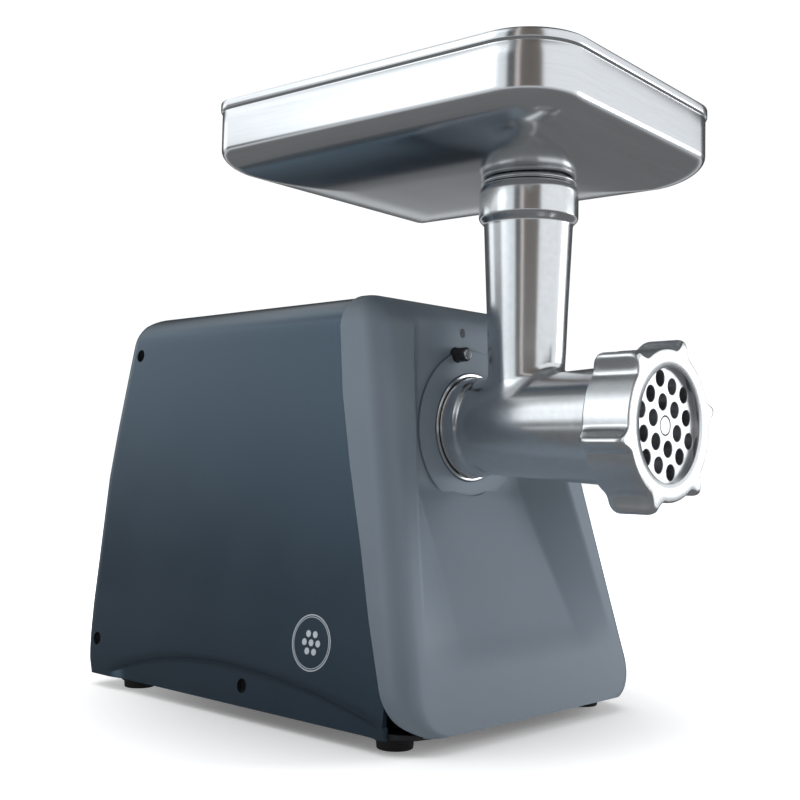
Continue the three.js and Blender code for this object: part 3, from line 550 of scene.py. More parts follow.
# ---- side panels -------------------------------------------------------------------------
# Two mirrored blue-black panels. Below a long flat arch the wall steps in over the feet.
# Three screws a side sit in round wells.
ARCH_PEAK = (47.3, 28.6)
ARCH_STEP = 2.3
COVER_PROUD = 1
SIDE_COLUMNS = 90
CORNER_COLUMNS = 10
REAR_COLUMNS = 24
SIDE_SCREWS = [(155.1, 203.2), (164, 28.1), (26.3, 18.2)]
VENT = (38, 62, 118)
GLAND = (-42, 38)
SWITCH_Y = 92
SWITCH_Z = 128
SIDE_ANGLE = math.atan(SIDE_LEAN)
ARCH_LOW = 2.5
PLAIN_FROM = 49
SEAM_FOOT = -81
SEAM_STRAIGHT_FROM = 211
WELL_R = 3.8
REAR_GAP = 0.15


def arch_height(y):
    off = y - ARCH_PEAK[0]
    fall = 0.00104 if off < 0 else 0.00165
    return max(ARCH_PEAK[1] - fall * off * off, BODY_BOTTOM + ARCH_LOW)


def panel_seam(z):
    return max(smoothly(SEAM, z, 3), SEAM_FOOT)


def panel_point(side, column, z, inset):
    # One point of a panel: along the side from the seam, round the rear corner, then across the back.
    rear = rear_face(z) - inset
    round_rear = max(REAR_CORNER - inset, 3)
    seam = panel_seam(min(z, SEAM_STRAIGHT_FROM))
    if column <= SIDE_COLUMNS:
        y = seam + (rear - round_rear - seam) * column / SIDE_COLUMNS
        x = side_at(y, z, inset)
    elif column <= SIDE_COLUMNS + CORNER_COLUMNS:
        angle = math.pi / 2 * (column - SIDE_COLUMNS) / CORNER_COLUMNS
        y = rear - round_rear + round_rear * math.sin(angle)
        x = half_width(z) - inset - round_rear + round_rear * math.cos(angle)
    else:
        t = (column - SIDE_COLUMNS - CORNER_COLUMNS) / REAR_COLUMNS
        y = rear
        x = (half_width(z) - inset - round_rear) * (1 - t) + REAR_GAP * t
    return side * x, y, z


def panel_mesh(side):
    columns = SIDE_COLUMNS + CORNER_COLUMNS + REAR_COLUMNS + 1
    points = []
    low_rows = 8
    step_rows = 6
    wall_rows = 8
    band = 1.1
    rows = 0
    for row in range(low_rows + step_rows + wall_rows):
        for column in range(columns):
            y = panel_point(side, column, 30, COVER_PROUD)[1]
            arch = arch_height(y)
            if row < low_rows:
                z = BODY_BOTTOM + (arch - band - BODY_BOTTOM) * row / low_rows
            elif row < low_rows + step_rows:
                z = arch - band + 2 * band * (row - low_rows) / step_rows
            else:
                z = arch + band + (PLAIN_FROM - arch - band) * (row - low_rows - step_rows) / wall_rows
            fade = ease((arch - BODY_BOTTOM - ARCH_LOW) / 6)
            dip = ARCH_STEP * fade * ease((arch + band - z) / (2 * band))
            points.append(panel_point(side, column, z, COVER_PROUD + dip))
        rows += 1
    plain = [PLAIN_FROM + (BODY_TOP - TOP_ROUNDING - PLAIN_FROM) * t / 40 for t in range(41)]
    for z in plain:
        points += [panel_point(side, column, z, COVER_PROUD) for column in range(columns)]
        rows += 1
    edge = top_rows(COVER_PROUD, 12)
    for z, inset in edge[1:]:
        points += [panel_point(side, column, z, inset) for column in range(columns)]
        rows += 1
    faces = grid_faces(columns, rows)
    start = len(points)
    z, inset = edge[-1]
    across = SIDE_COLUMNS + CORNER_COLUMNS + 1
    for i in range(REAR_COLUMNS + 1):
        t = i / REAR_COLUMNS
        for column in range(across):
            x, y, _ = panel_point(side, column, z, inset)
            points.append((x * (1 - t) + side * REAR_GAP * t, y, z))
    faces += grid_faces(across, REAR_COLUMNS + 1, start)
    return mesh_from("panel", points, faces)


def face_out(mesh, centre):
    # Turns the faces of an open sheet so that they look away from a point inside the body.
    shape = bmesh.new()
    shape.from_mesh(mesh)
    votes = 0
    for face in shape.faces:
        away = face.normal.dot(face.calc_center_median() - Vector(centre)) > 0
        votes += face.calc_area() * (1 if away else -1)
    if votes < 0:
        bmesh.ops.reverse_faces(shape, faces=shape.faces)
    shape.to_mesh(mesh)
    shape.free()


def thicken(thing, thickness=SHELL):
    step = thing.modifiers.new("wall", "SOLIDIFY")
    step.thickness = thickness
    step.offset = -1
    apply_modifiers(thing)


def block(x0, x1, y0, y1, z0, z1):
    points = [(x, y, z) for z in (z0, z1) for y in (y0, y1) for x in (x0, x1)]
    return points, [(0, 2, 3, 1), (4, 5, 7, 6), (0, 1, 5, 4), (2, 6, 7, 3), (0, 4, 6, 2), (1, 3, 7, 5)]


def on_side_wall(points):
    # Places points drawn on an upright wall at x = 0 on the leaning right wall at the switches.
    c, s = math.cos(SIDE_ANGLE), math.sin(SIDE_ANGLE)
    wall = half_width(SWITCH_Z) - COVER_PROUD
    return [(wall + x * c - z * s, SWITCH_Y + y, SWITCH_Z + x * s + z * c) for x, y, z in points]


for side, word in ((-1, "left"), (1, "right")):
    panel = new_object("side_panel_" + word, panel_mesh(side))
    face_out(panel.data, (0, 0.05, 0.12))
    thicken(panel)
    tools = []
    for y, z in SIDE_SCREWS:
        place = (side * (half_width(z) - COVER_PROUD), y, z)
        tools.append(lathe("well_tool", [(0, -12), (WELL_R, -12), (WELL_R, 12), (0, 12)], 40, "X", place))
    tools.append(cutter("vent_tool", *block(-VENT[0], VENT[0], 160, 190, VENT[1], VENT[2])))
    if side < 0:
        gland_profile = [(0, 160), (6.6, 160), (6.6, 190), (0, 190)]
        tools.append(lathe("gland_tool", gland_profile, 40, "Y", (GLAND[0], 0, GLAND[1])))
    else:
        points, faces = block(-12, 12, -34.9, 34.9, -13.9, 13.9)
        tools.append(cutter("switch_tool", on_side_wall(points), faces))
    carve(panel, tools)
    soften(panel, 0.0005, 40)
    finish_piece(panel, "housing", "panel", panel_plastic, "housing_" + word)
    for number, (y, z) in enumerate(SIDE_SCREWS, 1):
        dip = ARCH_STEP if z < arch_height(y) else 0
        wall = half_width(z) - COVER_PROUD - dip
        well = rounded(
            [(WELL_R, -0.6), (WELL_R, -9), (0.01, -9), (0.01, -9.8), (4.8, -9.8), (4.8, -1.2)], 0.3
        )
        well = [(r, side * h) for r, h in well]
        cup = lathe("screw_well_%s_%d" % (word, number), well, 40, "X", (side * wall, y, z))
        # The well lining takes the darker plastic: painted shade inside the well.
        finish_piece(cup, "housing", "panel", shaded_well_plastic)

# ---- front cover -------------------------------------------------------------------------
# A slate-grey cover over the whole front. It is scooped out round the socket, so that its flat
# floor meets a round socket face; the sides of the scoop rise to two long slanted rims.
FLOOR_EDGE = [(36, 50), (55, 49), (123, 43.5), (215, 43.5)]
RIM_EDGE = [(30, 81), (51, 79), (129, 65), (163, 59), (200, 51.5), (215, 48)]
SOCKET_FACE = -51
HEAD_Z = 159.46
FLOOR_COLUMNS = 14
CREASE_COLUMNS = 6
SLOPE_COLUMNS = 8
CORNER_RUN = 14
SIDE_RUN = 6
LOCK = (-13, 199)
LOW_CORNER_R = 22


def scoop_floor(z):
    # How deep the scoop is at one height: it starts softly at the bottom and runs out at the top.
    lean = 0.236 * (z - 36) * ease((z - 30) / 22)
    deepest = max(SOCKET_FACE + 1.5 - front_face(z), 0)
    pinch = 0.8
    blend = min(max(0.5 + (lean - deepest) / 6, 0), 1)
    depth = lean * (1 - blend) + deepest * blend - pinch * blend * (1 - blend)
    return max(depth, 0)


def scoop_share(x, z):
    floor_edge = smoothly(FLOOR_EDGE, z, 4)
    rim_edge = smoothly(RIM_EDGE, z, 4)
    t = (rim_edge - x) / (rim_edge - floor_edge)
    soft = 0.07
    if t < -soft:
        return 0
    if t > 1 + soft:
        return 1
    if t < soft:
        return (t + soft) ** 2 / (4 * soft)
    if t > 1 - soft:
        return 1 - (1 + soft - t) ** 2 / (4 * soft)
    return t


def low_corner(z):
    # The cover's two lower corners are rounded off when seen from the front.
    drop = max(LOW_CORNER_R - (z - BODY_BOTTOM), 0)
    return LOW_CORNER_R - math.sqrt(LOW_CORNER_R ** 2 - drop ** 2)


def cover_run(z, inset):
    # Half of the cover's outline at one height, from the middle of the front round to the seam.
    half = half_width(z) - inset - low_corner(z)
    front = front_face(z) + inset
    round_front = max(FRONT_CORNER - inset, 4)
    floor_edge = smoothly(FLOOR_EDGE, z, 4)
    rim_edge = min(smoothly(RIM_EDGE, z, 4), half - round_front * 0.35)
    crease = (rim_edge - floor_edge) * 0.09
    stops = [
        (0, floor_edge - crease, FLOOR_COLUMNS),
        (floor_edge - crease, floor_edge + crease, CREASE_COLUMNS),
        (floor_edge + crease, rim_edge - crease, SLOPE_COLUMNS),
        (rim_edge - crease, rim_edge + crease, CREASE_COLUMNS),
    ]
    xs = [0]
    for start, end, count in stops:
        xs += [start + (end - start) * (i + 1) / count for i in range(count)]
    run = []
    for x in xs:
        over = max(x - (half - round_front), 0)
        y = front + round_front - math.sqrt(max(round_front ** 2 - over ** 2, 0))
        run.append((x, y + scoop_floor(z) * scoop_share(x, z)))
    seam = smoothly(SEAM, min(z, SEAM_STRAIGHT_FROM), 3)
    corner_x = half - round_front
    corner_end = front + round_front
    flat = max(corner_x - xs[-1], 0)
    first = math.asin(min(max(xs[-1] - corner_x, 0) / round_front, 1))
    last = math.pi / 2
    if seam < corner_end:
        last = math.acos(min(max((corner_end - seam) / round_front, 0), 1))
    last = max(last, first + 0.01)
    arc = round_front * (last - first)
    for i in range(1, CORNER_RUN + 1):
        reach = (flat + arc) * i / CORNER_RUN
        angle = first + max(reach - flat, 0) / round_front
        x = corner_x + round_front * math.sin(angle) if reach > flat else xs[-1] + reach
        y = front + round_front * (1 - math.cos(angle)) if reach > flat else front
        run.append((x, y))
    x, y = run[-1]
    run += [(x, y + max(seam - y, 0) * i / SIDE_RUN) for i in range(1, SIDE_RUN + 1)]
    return run


def cover_mesh():
    low = 8.6
    levels = [(low + (BODY_TOP - TOP_ROUNDING - low) * (t / 100) ** 1.25, 0) for t in range(101)]
    levels += top_rows(0, 12)[1:]
    points = []
    columns = 0
    for z, inset in levels:
        run = cover_run(z, inset)
        row = [(-x, y, z) for x, y in reversed(run)] + [(x, y, z) for x, y in run[1:]]
        columns = len(row)
        points += row
    faces = grid_faces(columns, len(levels))
    z, inset = levels[-1]
    top = points[-columns:]
    top = top[SIDE_RUN:len(top) - SIDE_RUN]
    start = len(points)
    for i in range(SIDE_RUN + 1):
        t = i / SIDE_RUN
        points += [(x, y * (1 - t) + SEAM_TOP * t, z) for x, y, _ in top]
    faces += grid_faces(len(top), SIDE_RUN + 1, start)
    return mesh_from("cover", points, faces)


def lock_tool():
    profile = [(0, -75), (4.35, -75), (4.35, 10), (0, 10)]
    return lathe("lock_tool", profile, 48, "Y", (LOCK[0], 0, LOCK[1]))


cover = new_object("front_shell", cover_mesh())
face_out(cover.data, (0, 0.02, 0.12))
thicken(cover, 0.0028)
hole = lathe("socket_tool", [(0, -75), (38, -75), (38, 10), (0, 10)], 96, "Y", (0, 0, HEAD_Z))
carve(cover, [hole, lock_tool()])
soften(cover, 0.0006, 42)
finish_piece(cover, "housing", "cover", cover_plastic, "front_cover")

# The flat round socket face, moulded in one with the cover, with a crisp rounded rim.
socket_face = lathe("socket_face", rounded(
    [(30, -47), (30, SOCKET_FACE), (43, SOCKET_FACE), (43, -45.5), (30, -45.5)], 0.7
), 144, "Y", (0, 0, HEAD_Z))
carve(socket_face, [lock_tool()])
soften(socket_face, 0.0003, 40)
finish_piece(socket_face, "housing", "cover", cover_plastic)

# Small padlock sign over the lock button and a plain round badge low on the cover: raised ink.
ink = plastic("light_ink", (0.42, 0.46, 0.5), (0.5, 0.54, 0.58), 0.4)
dark_ink = plastic("dark_ink", (0.02, 0.025, 0.03), (0.03, 0.035, 0.04), 0.4)


INK_HEIGHT = 0.12


def raised_ring(points, faces, centre, inner, outer, from_angle, to_angle, steps, place):
    start = len(points)
    for i in range(steps + 1):
        a = from_angle + (to_angle - from_angle) * i / steps
        for r in (inner, outer):
            for lift in (0, INK_HEIGHT):
                points.append(place(centre[0] + r * math.cos(a), centre[1] + r * math.sin(a), lift))
    for i in range(steps):
        k = start + i * 4
        ring = ((0, 1), (1, 3), (3, 2), (2, 0))
        faces += [(k + a, k + b, k + 4 + b, k + 4 + a) for a, b in ring]
    faces.append((start, start + 1, start + 3, start + 2))
    k = start + steps * 4
    faces.append((k, k + 1, k + 3, k + 2))


def on_left_panel(y, z, lift):
    return -(half_width(z) - COVER_PROUD + lift), y, z


def on_front(x, z, lift):
    face = front_face(z) + scoop_floor(z) * scoop_share(abs(x), z)
    return x, face - lift, z


def raised_marks(name, place, rings, material):
    points, faces = [], []
    for centre, inner, outer, first, last in rings:
        raised_ring(points, faces, centre, inner, outer, first, last, 40, place)
    thing = new_object(name, mesh_from(name, points, faces, smooth=False))
    finish_piece(thing, "housing", "cover", material)


FULL = 2 * math.pi
BADGE = (-26.7, 47)
BADGE_R = 14.2
DOT_RING = 5
DOT_R = 1.7
rings = [(BADGE, BADGE_R - 0.55, BADGE_R, 0, FULL), (BADGE, BADGE_R - 1.5, BADGE_R - 1.15, 0, FULL)]
for k in range(6):
    angle = k * math.pi / 3
    dot = (BADGE[0] + DOT_RING * math.cos(angle), BADGE[1] + DOT_RING * math.sin(angle))
    rings.append((dot, 0.05, DOT_R, 0, FULL))
rings.append((BADGE, 0.05, DOT_R, 0, FULL))
raised_marks("round_badge", on_left_panel, rings, ink)
LOCK_SIGN = (-7, 211)
raised_marks("lock_sign", on_front, [
    ((LOCK_SIGN[0], LOCK_SIGN[1] + 1.6), 1.0, 1.5, 0, math.pi),
    (LOCK_SIGN, 0.05, 2.0, -math.pi * 0.98, 0.02),
    (LOCK_SIGN, 0.05, 2.0, -0.02, math.pi),
], dark_ink)

# ---- brushed and polished metals ---------------------------------------------------------
# Drawn stainless sheet and die-cast, tumbled aluminium: fine streaks, soft cloudy gloss, small marks.
brushed_metal, into, give = add_group(
    "brushed metal",
    [
        ("Base", "NodeSocketColor", (0.8, 0.8, 0.8, 1)), ("Gloss", "NodeSocketFloat", 0.2),
        ("Streaks", "NodeSocketVector", (40, 40, 900)), ("Depth", "NodeSocketFloat", 0.05),
        ("Cloud", "NodeSocketFloat", 0.08),
    ],
    SURFACE_OUTPUTS,
)
where = brushed_metal.nodes.new("ShaderNodeTexCoord")
stretch = brushed_metal.nodes.new("ShaderNodeMapping")
streak = brushed_metal.nodes.new("ShaderNodeTexNoise")
streak.inputs["Scale"].default_value = 1
streak.inputs["Detail"].default_value = 4
cloud = brushed_metal.nodes.new("ShaderNodeTexNoise")
cloud.inputs["Scale"].default_value = 35
cloud.inputs["Detail"].default_value = 3
dull = brushed_metal.nodes.new("ShaderNodeMath")
dull.operation = "MULTIPLY_ADD"
darker = brushed_metal.nodes.new("ShaderNodeMapRange")
darker.inputs["To Min"].default_value = 0.9
darker.inputs["To Max"].default_value = 1.04
tone = brushed_metal.nodes.new("ShaderNodeVectorMath")
tone.operation = "SCALE"
bump = brushed_metal.nodes.new("ShaderNodeBump")
bump.inputs["Distance"].default_value = 0.0001
links = brushed_metal.links
links.new(where.outputs["Object"], stretch.inputs["Vector"])
links.new(into.outputs["Streaks"], stretch.inputs["Scale"])
links.new(stretch.outputs["Vector"], streak.inputs["Vector"])
links.new(where.outputs["Object"], cloud.inputs["Vector"])
links.new(cloud.outputs["Fac"], dull.inputs[0])
links.new(into.outputs["Cloud"], dull.inputs[1])
links.new(into.outputs["Gloss"], dull.inputs[2])
links.new(streak.outputs["Fac"], darker.inputs["Value"])
links.new(into.outputs["Base"], tone.inputs[0])
links.new(darker.outputs["Result"], tone.inputs["Scale"])
links.new(streak.outputs["Fac"], bump.inputs["Height"])
links.new(into.outputs["Depth"], bump.inputs["Strength"])
links.new(tone.outputs["Vector"], give.inputs["Color"])
links.new(dull.outputs[0], give.inputs["Roughness"])
links.new(bump.outputs["Normal"], give.inputs["Normal"])


def metal(name, base, gloss, streaks=(60, 60, 60), depth=0.05, cloud_change=0.08, anisotropic=0.0):
    material, tree, shader = new_material(name)
    surface = use_group(
        tree, brushed_metal, Base=(*base, 1), Gloss=gloss, Streaks=streaks, Depth=depth, Cloud=cloud_change
    )
    connect(tree, surface, shader)
    shader.inputs["Metallic"].default_value = 1
    shader.inputs["Anisotropic"].default_value = anisotropic
    return material


cast_metal = metal("polished_casting", (0.86, 0.87, 0.88), 0.15, (300, 300, 300), 0.06, 0.08)
nut_metal = metal("satin_casting", (0.86, 0.87, 0.88), 0.2, (260, 260, 260), 0.08, 0.1)
sheet_metal = metal("drawn_stainless", (0.85, 0.86, 0.87), 0.13, (30, 30, 700), 0.03, 0.07, 0.3)
plate_metal = metal("ground_steel", (0.72, 0.73, 0.74), 0.28, (1500, 40, 60), 0.12, 0.1)
steel_metal = metal("plain_steel", (0.56, 0.57, 0.59), 0.3, (200, 600, 200), 0.1, 0.1)

# ---- socket ring and lock button ---------------------------------------------------------
# A thin polished ring lines the socket. The lock is a black pin with a bright end, on a spring.
socket_ring = lathe("socket_lining", rounded(
    [(28.2, -40), (28.2, -51.8), (29.9, -51.8), (29.9, -40), (28.2, -40)], 0.35
), 144, "Y", (0, 0, HEAD_Z))
finish_piece(socket_ring, "housing", "steel", cast_metal, "socket_ring")
lock_pin = lathe("lock_pin", rounded(
    [(0, -58.6), (2.2, -58.6), (3.9, -57.8), (3.9, -31), (0, -31)], 0.5
), 48, "Y", (LOCK[0], 0, LOCK[1]))
finish_piece(lock_pin, "lock_button", "black", black_plastic, "lock_button")
pin_end = lathe("lock_pin_end", rounded(
    [(0, -59.0), (2.4, -59.0), (2.9, -58.4), (2.9, -57.9), (0, -57.9)], 0.25
), 40, "Y", (LOCK[0], 0, LOCK[1]))
finish_piece(pin_end, "lock_button", "black", cast_metal)

# ---- grinder head ------------------------------------------------------------------------
# One polished aluminium casting: a barrel that widens to the front, and an upright feed tube
# that runs into it with a soft fillet. It plugs into the socket and locks with a short turn.
BARREL_REAR = (25.9, -62.8)
BARREL_FRONT = (29.75, -136.7)
HEAD_OUTSIDE = [
    (0, -24), (27.6, -24), (27.6, -59.5), BARREL_REAR, BARREL_FRONT, (30.4, -148.5), (32, -150.2),
    (34.5, -150.6), (34.5, -168.5), (0, -168.5),
]
HEAD_BORE = [
    (0, -30), (23, -30), (23, -66), (26.7, -136.7), (27.6, -157.6), (31.35, -157.6), (31.35, -175),
    (0, -175),
]
TUBE_Y = -88.6
TUBE_FOOT_R = 19.4
TUBE_HEAD_R = 23.95
FILLET = 6
FILLET_SINK = 0.12


def barrel_radius(y):
    (rear_r, rear_y), (front_r, front_y) = BARREL_REAR, BARREL_FRONT
    return rear_r + (front_r - rear_r) * (rear_y - y) / (rear_y - front_y)


def tube_shell(segments=128):
    # The feed tube's outside, from below the barrel's skin up to the open collar. The fillet ends
    # a little under the skin, so that the two meet in one clean line.
    upper = rounded([
        (TUBE_HEAD_R - 0.15, 266), (TUBE_HEAD_R, 268), (26.75, 271), (26.75, 285.4), (25.7, 288),
        (24.6, 289), (0, 289),
    ], 1.2)
    points = []
    rows = 0
    offsets = [-2.5, -1.2, -0.5] + [FILLET * k / 10 for k in range(11)]
    for offset in offsets:
        swell = FILLET - math.sqrt(max(FILLET ** 2 - (FILLET - max(offset, 0)) ** 2, 0))
        for i in range(segments):
            a = FULL * i / segments
            r = TUBE_FOOT_R + 1.1 + swell
            x = r * math.cos(a)
            y = TUBE_Y + r * math.sin(a)
            skin = barrel_radius(y)
            z = HEAD_Z + math.sqrt(max(skin ** 2 - x ** 2, 1)) + offset - FILLET_SINK
            points.append((x, y, z))
        rows += 1
    for r, z in [(TUBE_FOOT_R + 1.6, 200), (TUBE_FOOT_R + 2.4, 222), (TUBE_FOOT_R + 3.5, 246)] + upper:
        for i in range(segments):
            a = FULL * i / segments
            points.append((r * math.cos(a), TUBE_Y + r * math.sin(a), z))
        rows += 1
    faces = []
    for row in range(rows - 1):
        faces += band_faces(row, row + 1, segments)
    base = len(points)
    points.append((0, TUBE_Y, HEAD_Z + 10))
    faces += [(base, (i + 1) % segments, i) for i in range(segments)]
    return cutter("tube_outside", points, faces)


head = lathe("head_casting", rounded(HEAD_OUTSIDE, 1.6), 160, "Y", (0, 0, HEAD_Z))
carve(head, [tube_shell()], "UNION")
bore = lathe("bore_tool", HEAD_BORE, 128, "Y", (0, 0, HEAD_Z))
tube_bore = lathe("tube_bore_tool", [
    (0, HEAD_Z), (TUBE_FOOT_R - 2.6, HEAD_Z), (TUBE_HEAD_R - 2.6, 268), (TUBE_HEAD_R - 2.6, 271.5),
    (23.7, 271.5), (23.7, 295), (0, 295),
], 96, "Z", (0, TUBE_Y, 0))
spindle_hole = lathe("spindle_tool", [(0, -40), (10.4, -40), (10.4, -20), (0, -20)], 48, "Y", (0, 0, HEAD_Z))
carve(head, [bore, tube_bore, spindle_hole])
soften(head, 0.0003, 38)
finish_piece(head, "head", "casting", cast_metal, "grinder_head")

# ---- grinder plate -----------------------------------------------------------------------
# A ground steel disc with eighteen 8 mm holes round the pin of the screw.
NUT_FRONT = -176.35
NUT_REAR = -149.85
LIP = 3
PLATE_R = 31
HOLE_PITCH = 11.7
HOLE_TURN = math.radians(-17.4)


def circle_spline(curve, x, z, r, count):
    spline = curve.splines.new("POLY")
    spline.points.add(count - 1)
    for i in range(count):
        a = FULL * i / count
        spline.points[i].co = ((x + r * math.cos(a)) / 1000, (z + r * math.sin(a)) / 1000, 0, 1)
    spline.use_cyclic_u = True


plate_curve = bpy.data.curves.new("plate", "CURVE")
plate_curve.dimensions = "2D"
plate_curve.fill_mode = "BOTH"
circle_spline(plate_curve, 0, 0, PLATE_R, 160)
circle_spline(plate_curve, 0, 0, 4.8, 48)
for i in range(-2, 3):
    for j in range(-2, 3):
        a = HOLE_PITCH * (i + j / 2)
        b = HOLE_PITCH * j * math.sin(math.pi / 3)
        if 1 < math.hypot(a, b) < 2.1 * HOLE_PITCH:
            x = a * math.cos(HOLE_TURN) - b * math.sin(HOLE_TURN)
            z = a * math.sin(HOLE_TURN) + b * math.cos(HOLE_TURN)
            circle_spline(plate_curve, x, z, 4, 48)
PLATE_THICK = 8
EDGE = 0.35
plate_curve.extrude = (PLATE_THICK / 2 - EDGE) / 1000
plate_curve.bevel_depth = EDGE / 1000
plate_curve.bevel_resolution = 1
plate_curve.offset = -EDGE / 1000
plate = bpy.data.objects.new("plate_disc", plate_curve)
bpy.context.collection.objects.link(plate)
bpy.context.view_layer.update()
plate_mesh = bpy.data.meshes.new_from_object(plate.evaluated_get(bpy.context.evaluated_depsgraph_get()))
bpy.data.objects.remove(plate)
middle = (NUT_FRONT + LIP + PLATE_THICK / 2 + 0.03) / 1000
stand = Matrix(((1, 0, 0), (0, 0, 1), (0, 1, 0)))
plate_mesh.transform(Matrix.Translation((0, middle, HEAD_Z / 1000)) @ stand.to_4x4())
tidy = bmesh.new()
tidy.from_mesh(plate_mesh)
bmesh.ops.remove_doubles(tidy, verts=tidy.verts, dist=1e-6)
bmesh.ops.recalc_face_normals(tidy, faces=tidy.faces)
tidy.to_mesh(plate_mesh)
tidy.free()
plate = new_object("plate_disc", plate_mesh)
plate.data.polygons.foreach_set("use_smooth", [True] * len(plate.data.polygons))
plate.data.set_sharp_from_angle(angle=math.radians(12))
finish_piece(plate, "plate", "steel", plate_metal, "grinder_plate")

# ---- ring nut ----------------------------------------------------------------------------
# The cast ring nut holds the plate. Six paddle-shaped grips run along it, with wide smooth
# hollows between them, and its opening has a bevelled lip.
NUT_R = 37.6
NUT_TIP = 45.3
NUT_COLUMNS = 480
GRIP_START = math.radians(12)
GRIP_COUNT = 6
GRIP_MID_R = 41
GRIP_TIP = 1.9
GRIP_FOOT = 7.8
TIP_DROP = 0.12
GRIP_FRONT = 0.62


def grip_shape(angle):
    # The height of a grip at one angle: a narrow rounded tip with hollow flanks.
    step = FULL / GRIP_COUNT
    off = (angle - GRIP_START + step / 2) % step - step / 2
    across = abs(off) * GRIP_MID_R
    if across >= GRIP_FOOT:
        return 0
    if across <= GRIP_TIP:
        return 1 - TIP_DROP * (across / GRIP_TIP) ** 2
    return (1 - TIP_DROP) * ((GRIP_FOOT - across) / (GRIP_FOOT - GRIP_TIP)) ** 2


def nut_mesh():
    def grip_end(d, reach):
        t = min(max(d / reach, 0), 1)
        return math.sqrt(max(1 - (1 - t) ** 2, 0))

    outside = []
    length = NUT_REAR - NUT_FRONT
    steps = 34
    for k in range(steps + 1):
        t = k / steps
        d = length * (0.5 - 0.5 * math.cos(math.pi * t))
        edge = 1.1
        front_edge = edge * (1 - grip_end(d, edge)) + edge * (1 - grip_end(length - d, edge))
        share = (GRIP_FRONT + (1 - GRIP_FRONT) * grip_end(d, 5)) * grip_end(length - d, 7)
        outside.append((NUT_FRONT + d, NUT_R - front_edge, share))
    opening = [(28.2, LIP), (28.2, 0.8), (28.3, 0.3), (28.7, 0), (33.5, 0)]
    rows = [(r, NUT_FRONT + depth, 0) for r, depth in opening]
    rows += [(r, y, share) for y, r, share in outside]
    rows += [(35.0, NUT_REAR, 0), (35.0, NUT_FRONT + LIP, 0)]
    points = []
    for r, y, share in rows:
        for i in range(NUT_COLUMNS):
            a = FULL * i / NUT_COLUMNS
            radius = r + (NUT_TIP - NUT_R) * share * grip_shape(a)
            points.append((radius * math.cos(a), y, HEAD_Z + radius * math.sin(a)))
    faces = []
    for row in range(len(rows)):
        faces += band_faces(row, (row + 1) % len(rows), NUT_COLUMNS)
    return mesh_from("nut", points, faces)


nut = new_object("ring_nut_casting", nut_mesh())
nut.data.set_sharp_from_angle(angle=math.radians(40))
finish_piece(nut, "ring_nut", "casting", nut_metal, "ring_nut")

# ---- food tray ---------------------------------------------------------------------------
# A deep pan drawn from 1.2 mm stainless sheet, with a bright rolled rim and a round outlet
# that drops onto the feed tube. It sits slightly turned on the tube.
TRAY_RIM = 338.6
TRAY_BOTTOM = 292.2
TRAY_HALF = 94.12
TRAY_FRONT = -69.9
TRAY_REAR = 152.4
TRAY_TURN = math.radians(4.12)
CORNER_FRONT = 31.6
CORNER_REAR = 17.8
EDGE_WIDTH = 60
EDGE_HEIGHT = 20.1
SHEET = 1.2
OUTLET_R = 21.6


def tray_outline(inset):
    # Points round the pan at one inset: a fixed number on each corner and each straight side.
    rear_r = max(CORNER_REAR - inset, 3)
    front_r = max(CORNER_FRONT - inset, 3)
    x1 = TRAY_HALF - inset
    y0 = TRAY_FRONT + inset
    y1 = TRAY_REAR - inset
    corners = [
        (x1 - rear_r, y1 - rear_r, rear_r), (rear_r - x1, y1 - rear_r, rear_r),
        (front_r - x1, y0 + front_r, front_r), (x1 - front_r, y0 + front_r, front_r),
    ]
    ring = []
    for k, (cx, cy, r) in enumerate(corners):
        corner = [
            (cx + r * math.cos((k + i / 16) * math.pi / 2), cy + r * math.sin((k + i / 16) * math.pi / 2))
            for i in range(17)
        ]
        ring += corner
        nx, ny, nr = corners[(k + 1) % 4]
        a = (k + 1) * math.pi / 2
        start = corner[-1]
        end = (nx + nr * math.cos(a), ny + nr * math.sin(a))
        for i in range(1, 8):
            ring.append((start[0] + (end[0] - start[0]) * i / 8, start[1] + (end[1] - start[1]) * i / 8))
    return ring


def tray_mesh():
    def floor_row(share, inset, z):
        row = []
        for x, y in tray_outline(inset):
            a = math.atan2(y, x)
            cx, cy = OUTLET_R * math.cos(a), OUTLET_R * math.sin(a)
            row.append((cx + (x - cx) * share, cy + (y - cy) * share, z))
        return row

    def wall_row(inset, z):
        return [(x, y, z) for x, y in tray_outline(inset)]

    def curved_rows(lift, inset):
        width = EDGE_WIDTH - inset
        bend = []
        for i in range(21):
            a = i / 20 * math.pi / 2
            height = TRAY_BOTTOM + lift + EDGE_HEIGHT * (1 - math.cos(a))
            bend.append(wall_row(inset + width * (1 - math.sin(a)), height))
        return bend

    rows = [floor_row(share, EDGE_WIDTH, TRAY_BOTTOM) for share in (0, 0.1, 0.4, 0.7)]
    rows += curved_rows(0, 0)
    band = TRAY_RIM - 5.4
    edge = [
        (0, band - 8), (0, band - 0.9), (0.25, band - 0.35), (0.1, band), (-0.7, band + 0.35),
        (-1, band + 1), (-1, TRAY_RIM - 0.9), (-0.75, TRAY_RIM - 0.3), (-0.2, TRAY_RIM),
        (SHEET - 0.5, TRAY_RIM), (SHEET, TRAY_RIM - 0.5), (SHEET, band),
    ]
    rows += [wall_row(inset, z) for inset, z in edge]
    rows += reversed(curved_rows(SHEET, SHEET))
    rows += [floor_row(share, EDGE_WIDTH, TRAY_BOTTOM + SHEET) for share in (0.7, 0.4, 0.1, 0)]
    count = len(rows[0])
    c, s = math.cos(TRAY_TURN), math.sin(TRAY_TURN)
    points = [(x * c - y * s, TUBE_Y + x * s + y * c, z) for row in rows for x, y, z in row]
    faces = []
    for row in range(len(rows)):
        faces += band_faces(row, (row + 1) % len(rows), count)
    return mesh_from("tray", points, faces)


